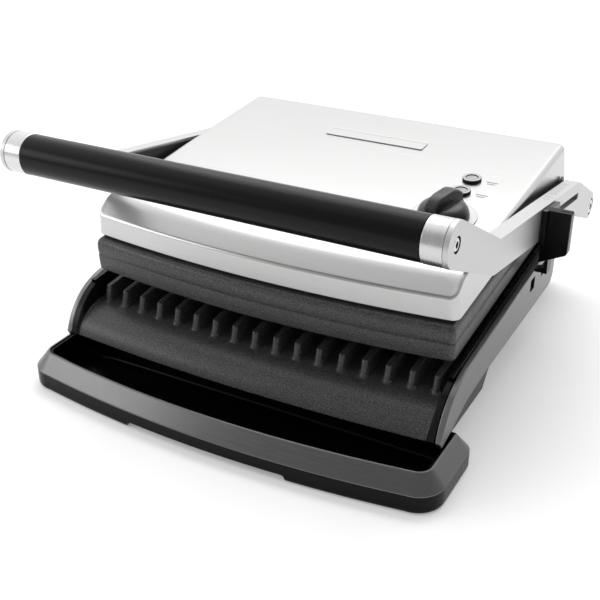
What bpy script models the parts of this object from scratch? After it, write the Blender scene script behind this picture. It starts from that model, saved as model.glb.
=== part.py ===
"""Panini press: base with a ribbed lower plate, a floating lid, two lift arms, a height lock and a drip tray.

Metres, +Z up, front of the press towards -Y. The lid and the plates lean up towards the back by TILT;
their sizes are given in a leaning frame (x, s back from the cover's front corner, n up from its lower edge).
Everything is built about the plane midway between the arms, then moved by TO_CENTRE, which puts the middle of
the whole press's footprint on the origin.
"""
import bpy
import bmesh
from math import cos, hypot, pi, radians, sin
from mathutils import Matrix, Vector

# ---- driving dimensions ----
TILT = radians(4.6)
CORNER_Y = -0.1275
CORNER_Z = 0.1111

COVER_HALF = 0.1612
COVER_DEPTH = 0.2665
COVER_DRAFT = 0.0022
COVER_BOW = 0.0093
COVER_TOP = 0.0305
SHEET = 0.0010

PLATE_HALF = 0.1617
PLATE_BOW = 0.010
PLATE_LOW = -0.031
PLATE_DEPTH = 0.250

RIB_COUNT = 17
RIB_PITCH = 0.01885
RIB_HALF = 0.0024
RIB_TOP = -0.0444
RIB_FOOT = -0.0570
RIB_BOW = 0.0072
BED_HALF = 0.1645
BED_REAR = 0.230
BED_UNDER = -0.0605
FLANGE_TOP = -0.0385

BAND_IN = 0.1650
BAND_OUT = 0.1700
PAN_HALF = 0.145
PAN_FRONT = -0.128
PAN_REAR = 0.190
PAN_LOW = 0.010
WALL = 0.003

ARM_IN = 0.1658
ARM_OUT = 0.1780
ARM_LINER = 0.0017
PIVOT = (0.1765, 0.0905)
LID_PIVOT = (0.1165, 0.1322)
GRIP_AXIS = (-0.1900, 0.2010)
GRIP_R = 0.0155
GRIP_HALF = 0.1592
ARM_SLOPE = radians(-8.7)

TRAY_HALF = 0.1825
TRAY_CORNER_Y = -0.2090
TRAY_BOW = 0.0130
TRAY_REAR = -0.1310
TRAY_WALL_TOP = 0.0152
TRAY_RIM = 0.0290
TRAY_BOTTOM = 0.0004

DIAL = (0.1118, 0.0918)
LAMPS = {"power": (0.1095, 0.1610), "ready": (0.1095, 0.1360)}
GAP = 0.0003
TO_CENTRE = Vector((-0.0090, 0.0099, 0.0))


# ---- scene and mesh helpers ----
def clear_scene():
    for ob in list(bpy.data.objects):
        bpy.data.objects.remove(ob, do_unlink=True)


def make_collection(name):
    col = bpy.data.collections.new(name)
    bpy.context.scene.collection.children.link(col)
    return col


clear_scene()
PRESS = make_collection("panini_press")
CUTTERS = make_collection("cutters")


def material(name, color, metallic, roughness):
    mat = bpy.data.materials.new(name)
    mat.use_nodes = True
    shader = mat.node_tree.nodes["Principled BSDF"]
    shader.inputs["Base Color"].default_value = (*color, 1.0)
    shader.inputs["Metallic"].default_value = metallic
    shader.inputs["Roughness"].default_value = roughness
    mat.diffuse_color = (*color, 1.0)
    return mat


FINISH = {
    "steel": ((0.80, 0.80, 0.79), 1.0, 0.30),
    "silver": ((0.72, 0.72, 0.72), 0.9, 0.38),
    "gunmetal": ((0.35, 0.35, 0.35), 0.9, 0.40),
    "cast": ((0.035, 0.035, 0.036), 0.1, 0.62),
    "black": ((0.012, 0.012, 0.013), 0.0, 0.28),
    "satin": ((0.018, 0.018, 0.019), 0.0, 0.48),
    "element": ((0.25, 0.25, 0.26), 0.9, 0.45),
    "galvanised": ((0.55, 0.56, 0.58), 0.9, 0.45),
    "rubber": ((0.03, 0.03, 0.03), 0.0, 0.85),
    "lens": ((0.55, 0.55, 0.54), 0.0, 0.20),
}


def add_part(name, mesh, finish):
    ob = bpy.data.objects.new(name, mesh)
    PRESS.objects.link(ob)
    mesh.materials.clear()
    mesh.materials.append(material(name, *FINISH[finish]))
    return ob


def mesh_of(bm, name):
    bmesh.ops.remove_doubles(bm, verts=bm.verts, dist=1e-6)
    bmesh.ops.recalc_face_normals(bm, faces=bm.faces)
    mesh = bpy.data.meshes.new(name)
    bm.to_mesh(mesh)
    bm.free()
    return mesh


def lean():
    """World placement of the leaning frame."""
    return Matrix.Translation((0.0, CORNER_Y, CORNER_Z)) @ Matrix.Rotation(TILT, 4, "X")


def leaned(x, s, n):
    return lean() @ Vector((x, s, n))


def apply_modifiers(ob):
    graph = bpy.context.evaluated_depsgraph_get()
    mesh = bpy.data.meshes.new_from_object(ob.evaluated_get(graph))
    mats = list(ob.data.materials)
    ob.modifiers.clear()
    ob.data = mesh
    mesh.materials.clear()
    for mat in mats:
        mesh.materials.append(mat)


def boolean(ob, other, operation):
    """Apply one exact Boolean; the other mesh is kept in the hidden cutters collection."""
    CUTTERS.objects.link(other)
    other.hide_render = True
    other.display_type = "WIRE"
    mod = ob.modifiers.new(operation, "BOOLEAN")
    mod.operation = operation
    mod.solver = "EXACT"
    mod.object = other
    apply_modifiers(ob)


def cut(ob, mesh):
    boolean(ob, bpy.data.objects.new(ob.name + "_cut", mesh), "DIFFERENCE")


def join(ob, mesh):
    boolean(ob, bpy.data.objects.new(ob.name + "_add", mesh), "UNION")


def bevel(ob, width, segments=2, angle=40.0):
    mod = ob.modifiers.new("edge", "BEVEL")
    mod.width = width
    mod.segments = segments
    mod.limit_method = "ANGLE"
    mod.angle_limit = radians(angle)
    apply_modifiers(ob)


def box(x, y, z):
    """Mesh of a box from (low, high) pairs."""
    bm = bmesh.new()
    add_box(bm, x, y, z)
    return mesh_of(bm, "box")


def add_box(bm, x, y, z):
    centre = Vector(((x[0] + x[1]) / 2, (y[0] + y[1]) / 2, (z[0] + z[1]) / 2))
    size = Matrix.Diagonal((x[1] - x[0], y[1] - y[0], z[1] - z[0], 1.0))
    bmesh.ops.create_cube(bm, size=1.0, matrix=Matrix.Translation(centre) @ size)


def rod_x(x0, x1, centre, radius, segments=24):
    """Cylinder along X between x0 and x1, centred on (y, z)."""
    bm = bmesh.new()
    turn = Matrix.Rotation(pi / 2, 4, "Y")
    place = Matrix.Translation(((x0 + x1) / 2, centre[0], centre[1])) @ turn
    bmesh.ops.create_cone(bm, cap_ends=True, segments=segments, radius1=radius, radius2=radius,
                          depth=abs(x1 - x0), matrix=place)
    return mesh_of(bm, "rod")


def turned(profile, place, segments=24):
    """Solid of revolution about local Z. profile runs from the top of the axis down to its foot."""
    bm = bmesh.new()
    rings = []
    for radius, height in profile:
        if radius < 1e-7:
            rings.append([bm.verts.new(place @ Vector((0.0, 0.0, height)))])
            continue
        ring = []
        for k in range(segments):
            a = 2 * pi * k / segments
            ring.append(bm.verts.new(place @ Vector((radius * cos(a), radius * sin(a), height))))
        rings.append(ring)
    loft_faces(bm, rings, len(profile) > 2 and profile[0] == profile[-1])
    return mesh_of(bm, "turned")


def loft_faces(bm, rings, closed):
    """Faces between neighbouring rings; a ring of one vertex closes to a point."""
    pairs = list(zip(rings[:-1], rings[1:]))
    for a, b in pairs:
        count = max(len(a), len(b))
        for k in range(count):
            j = (k + 1) % count
            if len(a) == 1:
                bm.faces.new((a[0], b[k], b[j]))
            elif len(b) == 1:
                bm.faces.new((a[k], b[0], a[j]))
            else:
                bm.faces.new((a[k], b[k], b[j], a[j]))
    if not closed:
        for end in (rings[0], rings[-1]):
            if len(end) > 1:
                bm.faces.new(end)


def loft(rings, place=Matrix.Identity(4), closed=False):
    """Closed body through rings of points with the same count; closed joins the last ring to the first."""
    bm = bmesh.new()
    loops = [[bm.verts.new(place @ Vector(p)) for p in ring] for ring in rings]
    if closed:
        loops.append(loops[0])
    loft_faces(bm, loops, closed)
    return mesh_of(bm, "loft")


def prism_x(outline, x0, x1):
    """Extrude a (y, z) outline along X."""
    return loft([[(x0, y, z) for y, z in outline], [(x1, y, z) for y, z in outline]])


def rounded(corners, steps=4):
    """Outline of (a, b, radius) corners with each corner turned into an arc."""
    out = []
    count = len(corners)
    for i, (a, b, radius) in enumerate(corners):
        here = Vector((a, b))
        to_last = Vector(corners[i - 1][:2]) - here
        to_next = Vector(corners[(i + 1) % count][:2]) - here
        if radius <= 0.0:
            out.append((a, b))
            continue
        half = to_last.angle(to_next) / 2
        reach = min(radius / max(1e-6, abs(sin(half) / cos(half))), to_last.length * 0.49,
                    to_next.length * 0.49)
        start = here + to_last.normalized() * reach
        end = here + to_next.normalized() * reach
        for k in range(steps + 1):
            t = k / steps
            p = start * (1 - t) ** 2 + here * 2 * t * (1 - t) + end * t ** 2
            out.append((p.x, p.y))
    return out


def plan(half, front, rear, bow, r_front, r_rear, inset=0.0, steps=5, front_steps=12):
    """Plan outline with a bowed front edge: (x, y) points, the same count for any inset."""
    half = half - inset
    front = front + inset
    rear = rear - inset
    rf = max(r_front - inset, 0.0008)
    rr = max(r_rear - inset, 0.0008)
    pts = []
    for k in range(steps + 1):
        a = pi / 2 * k / steps
        pts.append((half - rr + rr * cos(pi / 2 - a), rear - rr + rr * sin(pi / 2 - a)))
    for k in range(steps + 1):
        a = pi / 2 * k / steps
        pts.append((half - rf + rf * cos(a), front + rf - rf * sin(a)))
    span = half - rf
    for k in range(1, front_steps):
        x = span * (1 - 2 * k / front_steps)
        pts.append((x, front - bow * (1 - (x / span) ** 2)))
    for k in range(steps + 1):
        a = pi / 2 * k / steps
        pts.append((-half + rf - rf * sin(a), front + rf - rf * cos(a)))
    for k in range(steps + 1):
        a = pi / 2 * k / steps
        pts.append((-half + rr - rr * cos(a), rear - rr + rr * sin(a)))
    return pts


def ring_at(points, n):
    return [(x, s, n(s) if callable(n) else n) for x, s in points]


def tube(name, points, radius, finish, place):
    """Round bar along a line of points."""
    curve = bpy.data.curves.new(name, "CURVE")
    curve.dimensions = "3D"
    curve.bevel_depth = radius
    curve.bevel_resolution = 2
    curve.use_fill_caps = True
    spline = curve.splines.new("POLY")
    spline.points.add(len(points) - 1)
    for slot, p in zip(spline.points, points):
        slot.co = (*p, 1.0)
    temp = bpy.data.objects.new(name + "_path", curve)
    CUTTERS.objects.link(temp)
    temp.hide_render = True
    mesh = bpy.data.meshes.new_from_object(temp.evaluated_get(bpy.context.evaluated_depsgraph_get()))
    bpy.data.objects.remove(temp, do_unlink=True)
    bm = bmesh.new()
    bm.from_mesh(mesh)
    bmesh.ops.transform(bm, matrix=place, verts=bm.verts)
    return add_part(name, mesh_of(bm, name), finish)


# ---- outlines shared by several pieces ----
def bed_line(y, n):
    """Height of the leaning plane at level n above or below the cover's lower edge."""
    s = (y - CORNER_Y + n * sin(TILT)) / cos(TILT)
    return CORNER_Z + s * sin(TILT) + n * cos(TILT)


def nose_curve(steps=6):
    """Side profile of the flange and band nose: it leaves the leaning top line and dives to the tip."""
    start = (-0.118, bed_line(-0.118, FLANGE_TOP))
    bend = (-0.1560, 0.0690)
    tip = (-0.1690, 0.0350)
    pts = []
    for k in range(steps + 1):
        t = k / steps
        y = start[0] * (1 - t) ** 2 + bend[0] * 2 * t * (1 - t) + tip[0] * t ** 2
        z = start[1] * (1 - t) ** 2 + bend[1] * 2 * t * (1 - t) + tip[1] * t ** 2
        pts.append((y, z))
    return pts


def arm_line(y, drop):
    """Height of the arm's straight top line, less drop."""
    return 0.1687 + (y + 0.100) * sin(ARM_SLOPE) / cos(ARM_SLOPE) - drop


def arm_outline():
    return rounded([
        (-0.1000, 0.1687, 0.006),
        (0.1190, arm_line(0.119, 0.0), 0.030),
        (0.1830, 0.1020, 0.010),
        (0.1880, 0.0880, 0.008),
        (0.1745, 0.0785, 0.010),
        (0.1130, arm_line(0.113, 0.0302), 0.020),
        (-0.1090, 0.1442, 0.012),
        (-0.1955, 0.1865, 0.0),
    ], 5)[:-1] + grip_end()


def grip_end(steps=10):
    """Round front end of the arm, centred on the grip."""
    radius = GRIP_R + 0.0003
    pts = []
    for k in range(steps + 1):
        a = radians(243.5) - radians(180.0) * k / steps
        pts.append((GRIP_AXIS[0] + radius * cos(a), GRIP_AXIS[1] + radius * sin(a)))
    return pts


# ---- base ----
def base_housing():
    top = [(y, bed_line(y, BED_UNDER - 0.0007)) for y in (-0.122, 0.100)]
    shoulder = prism_x([(-0.122, 0.046), (0.100, 0.046), top[1], top[0]], -BAND_IN + 0.0005, BAND_IN - 0.0005)
    ob = add_part("base_housing", shoulder, "black")
    tail_top = 0.080
    pan = rounded([
        (PAN_FRONT, PAN_LOW, 0.004), (PAN_REAR, PAN_LOW, 0.006), (PAN_REAR, tail_top, 0.010),
        (0.150, tail_top, 0.004), (0.110, bed_line(0.110, BED_UNDER - GAP), 0.0),
        (PAN_FRONT, bed_line(PAN_FRONT, BED_UNDER - GAP), 0.0)], 3)
    join(ob, prism_x(pan, -PAN_HALF, PAN_HALF))
    for side in (-1, 1):
        leg = [(-0.1250, 0.0020), (-0.0370, 0.0020), (0.0070, 0.0480), (-0.1250, 0.0480)]
        join(ob, prism_x(leg, side * 0.1200, side * 0.1557))
    hollow = [(PAN_FRONT + WALL, PAN_LOW + WALL), (PAN_REAR - WALL, PAN_LOW + WALL),
              (PAN_REAR - WALL, tail_top - WALL), (0.152, tail_top - WALL), (0.112, 0.066), (0.104, 0.066),
              (0.104, 0.090), (PAN_FRONT + WALL, 0.090)]
    cut(ob, prism_x(hollow, -PAN_HALF + WALL, PAN_HALF - WALL))
    cut(ob, prism_x([(-0.118, 0.0495), (0.095, 0.0495), (0.095, 0.085), (-0.118, 0.085)], -0.1605, 0.1605))
    return ob


def band_outline():
    nose = nose_curve()
    rear = 0.0970
    body = [(rear, bed_line(rear, FLANGE_TOP), 0.010)]
    body += [(y, z, 0.0) for y, z in nose]
    body += [(-0.1665, 0.0300, 0.0), (-0.1500, 0.0340, 0.0), (-0.1200, 0.0430, 0.010), (-0.0800, 0.0460, 0.0)]
    body += [(rear, 0.0460, 0.014)]
    return rounded(body, 4)


def side_band(side):
    name = "side_band_right" if side > 0 else "side_band_left"
    ob = add_part(name, prism_x(band_outline(), side * BAND_IN, side * BAND_OUT), "silver")
    bevel(ob, 0.0008, 1, 50.0)
    if side > 0:
        for y in (0.030, 0.060):
            top = bed_line(y, FLANGE_TOP) - 0.0070
            cut(ob, box((BAND_IN + 0.0018, BAND_OUT + 0.004), (y - 0.0055, y + 0.0055), (top - 0.0110, top)))
    return ob


def rib_columns():
    """Plan positions across the bed with True where the column is on a rib's top."""
    cols = [(-BED_HALF, "flange"), (-0.1600, "flange"), (-0.1580, "bed")]
    for k in range(RIB_COUNT):
        x = (k - (RIB_COUNT - 1) / 2) * RIB_PITCH
        cols += [(x - 0.0040, "bed"), (x - RIB_HALF, "rib"), (x + RIB_HALF, "rib"), (x + 0.0040, "bed")]
    cols += [(0.1580, "bed"), (0.1600, "flange"), (BED_HALF, "flange")]
    return cols


def bed_rows():
    """(s at the sides, level of bed, rib and flange) from the back to the ribs' front feet."""
    return [
        (BED_REAR, FLANGE_TOP, FLANGE_TOP, FLANGE_TOP, 0.0),
        (BED_REAR - 0.0045, FLANGE_TOP, FLANGE_TOP, FLANGE_TOP, 0.0),
        (BED_REAR - 0.0075, RIB_FOOT, RIB_FOOT, FLANGE_TOP, 0.0),
        (BED_REAR - 0.0140, RIB_FOOT, RIB_FOOT, FLANGE_TOP, 0.0),
        (BED_REAR - 0.0180, RIB_FOOT, RIB_TOP, FLANGE_TOP, 0.0),
        (-0.0095, RIB_FOOT, RIB_TOP, FLANGE_TOP, 1.0),
        (-0.0140, RIB_FOOT, RIB_FOOT, FLANGE_TOP, 1.0),
    ]


def apron_point(x, t):
    """Falling front apron: t runs 0 at the ribs' feet to 1 at the lip."""
    bow = 1 - (x / 0.150) ** 2
    start = leaned(x, -0.0140 - RIB_BOW * bow, RIB_FOOT)
    reach = (-0.1680 - 0.0060 * bow) - start.y
    drop = start.z - 0.0335
    a = t * radians(82.0)
    return (x, start.y + reach * sin(a) / sin(radians(82.0)),
            start.z - drop * (1 - cos(a)) / (1 - cos(radians(82.0))))


def lower_plate():
    cols = rib_columns()
    nose = nose_curve(6)
    upper = []
    under = []
    for s, bed, rib, flange, bowed in bed_rows():
        line = []
        low = []
        for x, kind in cols:
            bend = RIB_BOW * (1 - (x / 0.150) ** 2) * bowed
            level = {"bed": bed, "rib": rib, "flange": flange}[kind]
            line.append(leaned(x, s - bend, level))
            low.append(leaned(x, s - bend, BED_UNDER))
        upper.append(line)
        under.append(low)
    for k in range(1, 7):
        t = k / 6
        line = []
        low = []
        for x, kind in cols:
            p = Vector(apron_point(x, t))
            low.append(p + Vector((0.0, 0.0018 * t + 0.0010, -0.0035 + 0.0017 * t)))
            line.append(Vector((x, nose[k][0], nose[k][1])) if kind == "flange" else p)
        upper.append(line)
        under.append(low)
    bm = bmesh.new()
    top_v = [[bm.verts.new(p) for p in line] for line in upper]
    low_v = [[bm.verts.new(p) for p in line] for line in under]
    rows, count = len(top_v), len(cols)
    for grid, flip in ((top_v, False), (low_v, True)):
        for i in range(rows - 1):
            for j in range(count - 1):
                quad = (grid[i][j], grid[i + 1][j], grid[i + 1][j + 1], grid[i][j + 1])
                bm.faces.new(quad[::-1] if flip else quad)
    for i in range(rows - 1):
        for j in (0, count - 1):
            bm.faces.new((top_v[i][j], top_v[i + 1][j], low_v[i + 1][j], low_v[i][j]))
    for j in range(count - 1):
        for i in (0, rows - 1):
            bm.faces.new((top_v[i][j], top_v[i][j + 1], low_v[i][j + 1], low_v[i][j]))
    return add_part("lower_plate", mesh_of(bm, "lower_plate"), "cast")


def element_path(half, front, rear, level):
    """M-shaped heater path, both ends at the back."""
    corners = [(-half, rear + 0.018), (-half, front), (-half / 3, front), (-half / 3, rear),
               (half / 3, rear), (half / 3, front), (half, front), (half, rear + 0.018)]
    pts = [corners[0]]
    radius = 0.016
    for i in range(1, len(corners) - 1):
        here = Vector(corners[i])
        a = (Vector(corners[i - 1]) - here).normalized() * radius
        b = (Vector(corners[i + 1]) - here).normalized() * radius
        for k in range(4):
            t = k / 3
            p = (here + a) * (1 - t) ** 2 + here * 2 * t * (1 - t) + (here + b) * t ** 2
            pts.append((p.x, p.y))
    pts.append(corners[-1])
    return [(x, s, level) for x, s in pts]


def lower_reflector():
    rim = plan(0.138, 0.012, 0.210, 0.0, 0.008, 0.008, 0.0, 2, 2)
    inner = plan(0.138, 0.012, 0.210, 0.0, 0.008, 0.008, 0.0006, 2, 2)
    floor = plan(0.138, 0.012, 0.210, 0.0, 0.008, 0.008, 0.004, 2, 2)
    rings = [ring_at(rim, -0.0700), ring_at(rim, -0.0780), ring_at(floor, -0.0800), ring_at(floor, -0.0794),
             ring_at(inner, -0.0778), ring_at(inner, -0.0700)]
    bm = bmesh.new()
    loops = [[bm.verts.new(lean() @ Vector(p)) for p in ring] for ring in rings]
    outer, base_out, low_out, low_in, base_in, top_in = loops
    loft_faces(bm, [outer, base_out, low_out], True)
    loft_faces(bm, [low_in, base_in, top_in], True)
    loft_faces(bm, [top_in, outer], True)
    bm.faces.new(low_out)
    bm.faces.new(low_in)
    return add_part("lower_reflector", mesh_of(bm, "lower_reflector"), "galvanised")


def hinge_bracket(side):
    name = "hinge_bracket_right" if side > 0 else "hinge_bracket_left"
    y, z = PIVOT
    outline = rounded([(0.1560, 0.0400, 0.004), (0.1880, 0.0400, 0.004), (0.1890, 0.1000, 0.011),
                       (0.1790, 0.1035, 0.011), (0.1640, 0.1000, 0.011)], 4)
    ob = add_part(name, prism_x(outline, side * (PAN_HALF + GAP), side * 0.1600), "galvanised")
    cut(ob, rod_x(side * 0.140, side * 0.165, (y, z), 0.0053))
    return ob


def pivot_bolt(side):
    name = "pivot_bolt_right" if side > 0 else "pivot_bolt_left"
    place = Matrix.Translation((0.0, *PIVOT)) @ Matrix.Rotation(side * pi / 2, 4, "Y")
    head = ARM_OUT + 0.0002
    profile = [(0.0, head - 0.0012), (0.0026, head - 0.0012), (0.0030, head), (0.0064, head),
               (0.0072, head - 0.0008), (0.0072, ARM_OUT - 0.0022), (0.0050, ARM_OUT - 0.0022),
               (0.0050, 0.1475), (0.0, 0.1475)]
    return add_part(name, turned(profile, place, 20), "steel")


def foot(name, x, y, height, radius):
    place = Matrix.Translation((x, y, 0.0))
    profile = [(0.0, height), (radius, height), (radius, 0.0012), (radius - 0.0010, 0.0), (0.0, 0.0)]
    return add_part(name, turned(profile, place, 20), "rubber")


def cord_inlet():
    place = Matrix.Translation((0.0, PAN_REAR + GAP, 0.034)) @ Matrix.Rotation(-pi / 2, 4, "X")
    profile = [(0.0040, 0.012), (0.0062, 0.012), (0.0068, 0.011), (0.0080, 0.003), (0.0105, 0.003),
               (0.0105, 0.0), (0.0040, 0.0), (0.0040, 0.012)]
    return add_part("cord_inlet", turned(profile, place, 24), "satin")


# ---- drip tray ----
def tray_plan(inset):
    return plan(TRAY_HALF, TRAY_CORNER_Y, TRAY_REAR, TRAY_BOW, 0.022, 0.012, inset)


def tray_basin():
    low = TRAY_BOTTOM
    levels = [(0.0016, low), (0.0, low + 0.0016), (0.0, TRAY_WALL_TOP - GAP), (0.0034, TRAY_WALL_TOP - GAP),
              (0.0125, 0.0262), (0.0125, 0.0278), (0.0142, 0.0278), (0.0155, 0.0060), (0.0185, 0.0030)]
    ob = add_part("tray_basin", loft([ring_at(tray_plan(d), z) for d, z in levels]), "black")
    grip = rounded([(-0.0740, -0.004, 0.0), (0.0740, -0.004, 0.0), (0.0700, 0.0056, 0.002),
                    (-0.0700, 0.0056, 0.002)], 2)
    cut(ob, loft([[(x, -0.240, z) for x, z in grip], [(x, -0.2090, z) for x, z in grip]]))
    for side in (-1, 1):
        rail = side * 0.110
        join(ob, box((rail - 0.006, rail + 0.006), (TRAY_REAR - 0.004, -0.030), (0.0025, 0.0080)))
    ridge = rounded([(-0.2010, 0.0026, 0.0), (-0.1900, 0.0026, 0.0), (-0.1955, 0.0062, 0.004)], 2)
    join(ob, loft([[(-0.135, y, z) for y, z in ridge], [(0.135, y, z) for y, z in ridge]]))
    return ob


def tray_bezel():
    levels = [(0.0, TRAY_WALL_TOP), (0.0, 0.0162), (0.0100, 0.0284), (0.0108, 0.0290), (0.0117, 0.0290),
              (0.0121, 0.0285), (0.0121, 0.0270), (0.0030, TRAY_WALL_TOP)]
    rings = [ring_at(tray_plan(d), z) for d, z in levels]
    return add_part("tray_bezel", loft(rings, closed=True), "gunmetal")


# ---- arms and grip ----
def arm(side):
    name = "arm_right" if side > 0 else "arm_left"
    ob = add_part(name, prism_x(arm_outline(), side * ARM_IN, side * ARM_OUT), "silver")
    bevel(ob, 0.0016, 1, 50.0)
    cut(ob, rod_x(side * 0.150, side * 0.1745, GRIP_AXIS, GRIP_R + 0.0012, 32))
    cut(ob, rod_x(side * 0.150, side * 0.190, GRIP_AXIS, 0.0030))
    cut(ob, rod_x(side * (ARM_OUT - 0.0016), side * 0.190, GRIP_AXIS, 0.0058))
    cut(ob, rod_x(side * 0.150, side * 0.190, PIVOT, 0.0052))
    cut(ob, rod_x(side * (ARM_OUT - 0.0025), side * 0.190, PIVOT, 0.0078))
    cut(ob, rod_x(side * 0.150, side * 0.1745, LID_PIVOT, 0.0026))
    if side > 0:
        slot = [(0.008, arm_line(0.008, 0.0100)), (0.119, arm_line(0.119, 0.0100)),
                (0.119, arm_line(0.119, 0.0160)), (0.008, arm_line(0.008, 0.0160))]
        cut(ob, prism_x(slot, 0.150, 0.190))
    return ob


def arm_liner(side):
    name = "arm_liner_right" if side > 0 else "arm_liner_left"
    outline = rounded([(-0.0980, arm_line(-0.098, 0.0020), 0.003), (0.1180, arm_line(0.118, 0.0020), 0.010),
                       (0.1620, 0.1075, 0.004), (0.1600, 0.0905, 0.004),
                       (0.1130, arm_line(0.113, 0.0282), 0.010), (-0.0980, arm_line(-0.098, 0.0245),
                       0.003)], 3)
    ob = add_part(name, prism_x(outline, side * (ARM_IN - GAP), side * (ARM_IN - GAP - ARM_LINER)), "black")
    cut(ob, rod_x(side * 0.150, side * 0.190, LID_PIVOT, 0.0027))
    if side > 0:
        window = [(0.004, arm_line(0.004, 0.0085)), (0.123, arm_line(0.123, 0.0085)),
                  (0.123, arm_line(0.123, 0.0175)), (0.004, arm_line(0.004, 0.0175))]
        cut(ob, prism_x(window, 0.150, 0.190))
    return ob


def grip():
    place = Matrix.Translation((0.0, *GRIP_AXIS)) @ Matrix.Rotation(pi / 2, 4, "Y")
    half = GRIP_HALF
    profile = [(0.0125, half), (GRIP_R - 0.0004, half), (GRIP_R, half - 0.0004), (GRIP_R, -half + 0.0004),
               (GRIP_R - 0.0004, -half), (0.0125, -half), (0.0125, half)]
    return add_part("grip", turned(profile, place, 32), "satin")


def grip_collar(side):
    name = "grip_collar_right" if side > 0 else "grip_collar_left"
    place = Matrix.Translation((0.0, *GRIP_AXIS)) @ Matrix.Rotation(side * pi / 2, 4, "Y")
    start, end = GRIP_HALF + GAP, 0.1742
    profile = [(0.0053, end), (0.0150, end), (GRIP_R + 0.0002, end - 0.0006),
               (GRIP_R + 0.0002, start + 0.0004), (GRIP_R - 0.0002, start), (0.0122, start),
               (0.0122, start - 0.012), (0.0053, start - 0.012),
               (0.0053, end)]
    return add_part(name, turned(profile, place, 28), "steel")


def grip_rod():
    ob = add_part("grip_rod", rod_x(-0.1700, 0.1700, GRIP_AXIS, 0.0050, 24), "galvanised")
    for side in (-1, 1):
        cut(ob, rod_x(side * 0.150, side * 0.180, GRIP_AXIS, 0.0028, 16))
    return ob


def grip_screw(side):
    name = "grip_screw_right" if side > 0 else "grip_screw_left"
    place = Matrix.Translation((0.0, *GRIP_AXIS)) @ Matrix.Rotation(side * pi / 2, 4, "Y")
    head = ARM_OUT + 0.0001
    profile = [(0.0, head - 0.0012), (0.0020, head - 0.0012), (0.0023, head), (0.0046, head),
               (0.0052, head - 0.0006), (0.0052, ARM_OUT - 0.0013), (0.0025, ARM_OUT - 0.0013),
               (0.0025, 0.1540), (0.0, 0.1540)]
    return add_part(name, turned(profile, place, 16), "steel")


def height_slider():
    """Clip on the right arm with a finger tab and a foot for the band's notches."""
    y0, y1 = 0.0000, 0.0395
    out = ARM_OUT + GAP
    side = [(y0, arm_line(y0, 0.0300)), (y0, arm_line(y0, 0.0011)), (y1, arm_line(y1, 0.0011)),
            (y1, arm_line(y1, 0.0300))]
    ob = add_part("height_slider", prism_x(side, out, out + 0.0041), "black")
    tab = [(out, 0.1050), (0.2003, 0.1160), (0.2003, 0.1510), (out, 0.1510)]
    join(ob, loft([[(x, 0.0055, z) for x, z in tab], [(x, 0.0145, z) for x, z in tab]]))
    tongue = [(0.012, arm_line(0.012, 0.0103)), (0.038, arm_line(0.038, 0.0103)),
              (0.038, arm_line(0.038, 0.0157)), (0.012, arm_line(0.012, 0.0157))]
    join(ob, prism_x(tongue, 0.1645, out + 0.001))
    foot_top, foot_low = arm_line(0.030, 0.0310), bed_line(0.030, FLANGE_TOP) + 0.0008
    foot_plate = [(0.0240, foot_top + 0.006), (0.0390, foot_top + 0.006), (0.0360, foot_low),
                  (0.0270, foot_low)]
    join(ob, prism_x(foot_plate, out, out + 0.0030))
    toe_in = BAND_OUT + 0.0008
    toe = [(out + 0.0030, foot_low), (out + 0.0030, foot_low + 0.006), (toe_in, foot_low + 0.0025),
           (toe_in, foot_low)]
    join(ob, loft([[(x, 0.0275, z) for x, z in toe], [(x, 0.0355, z) for x, z in toe]]))
    return ob


# ---- lid ----
def cover_outline(inset, draft, steps=5):
    """Plan outline at one level; extra points along the sides follow the rise behind the front edge."""
    base = plan(COVER_HALF - draft, 0.0, COVER_DEPTH - draft * 0.4, COVER_BOW, 0.0072, 0.0072, inset)
    rear, front = base[:steps + 1], base[steps + 1:len(base) // 2 + 1]
    start, end = Vector((rear[-1][0], 0.036)), Vector(front[0])
    side = [tuple(start.lerp(end, k / 5)) for k in range(5)]
    half = rear + side + front
    return half + [(-x, s) for x, s in half[:-1][::-1]]


def cover_height(x, s, inset):
    """Level of the outer skin: it climbs behind the bowed front edge and rolls over at the rim."""
    back = s + COVER_BOW * (1 - min(1.0, abs(x) / (COVER_HALF - 0.0072)) ** 2)
    profile = [(-0.010, 0.0175), (0.0000, 0.0175), (0.0023, 0.0192), (0.0135, 0.0276), (0.0165, 0.0290),
               (0.0195, 0.0299), (0.0235, 0.0304), (0.0290, COVER_TOP), (1.0, COVER_TOP)]
    level = COVER_TOP
    for (s0, n0), (s1, n1) in zip(profile[:-1], profile[1:]):
        if s0 <= back <= s1:
            level = n0 + (n1 - n0) * (back - s0) / (s1 - s0)
    radius = 0.0018 + 0.0037 * min(1.0, max(0.0, (back - 0.004) / 0.018))
    short = max(0.0, radius - inset)
    return level - radius + (radius * radius - short * short) ** 0.5


def cover_rings(inward):
    """Levels from the lower edge to the top; inward offsets the whole skin for its inner face."""
    rings = [ring_at(cover_outline(inward, 0.0), 0.0)]
    for inset in (0.0, 0.0004, 0.0012, 0.0023, 0.0038, 0.0058, 0.0100, 0.0135, 0.0165, 0.0195, 0.0235,
                  0.0290):
        outer = cover_outline(inset, COVER_DRAFT)
        inner = cover_outline(inset + inward, COVER_DRAFT)
        rings.append([(x, s, cover_height(a, b, inset) - inward) for (x, s), (a, b) in zip(inner, outer)])
    return rings


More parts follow.
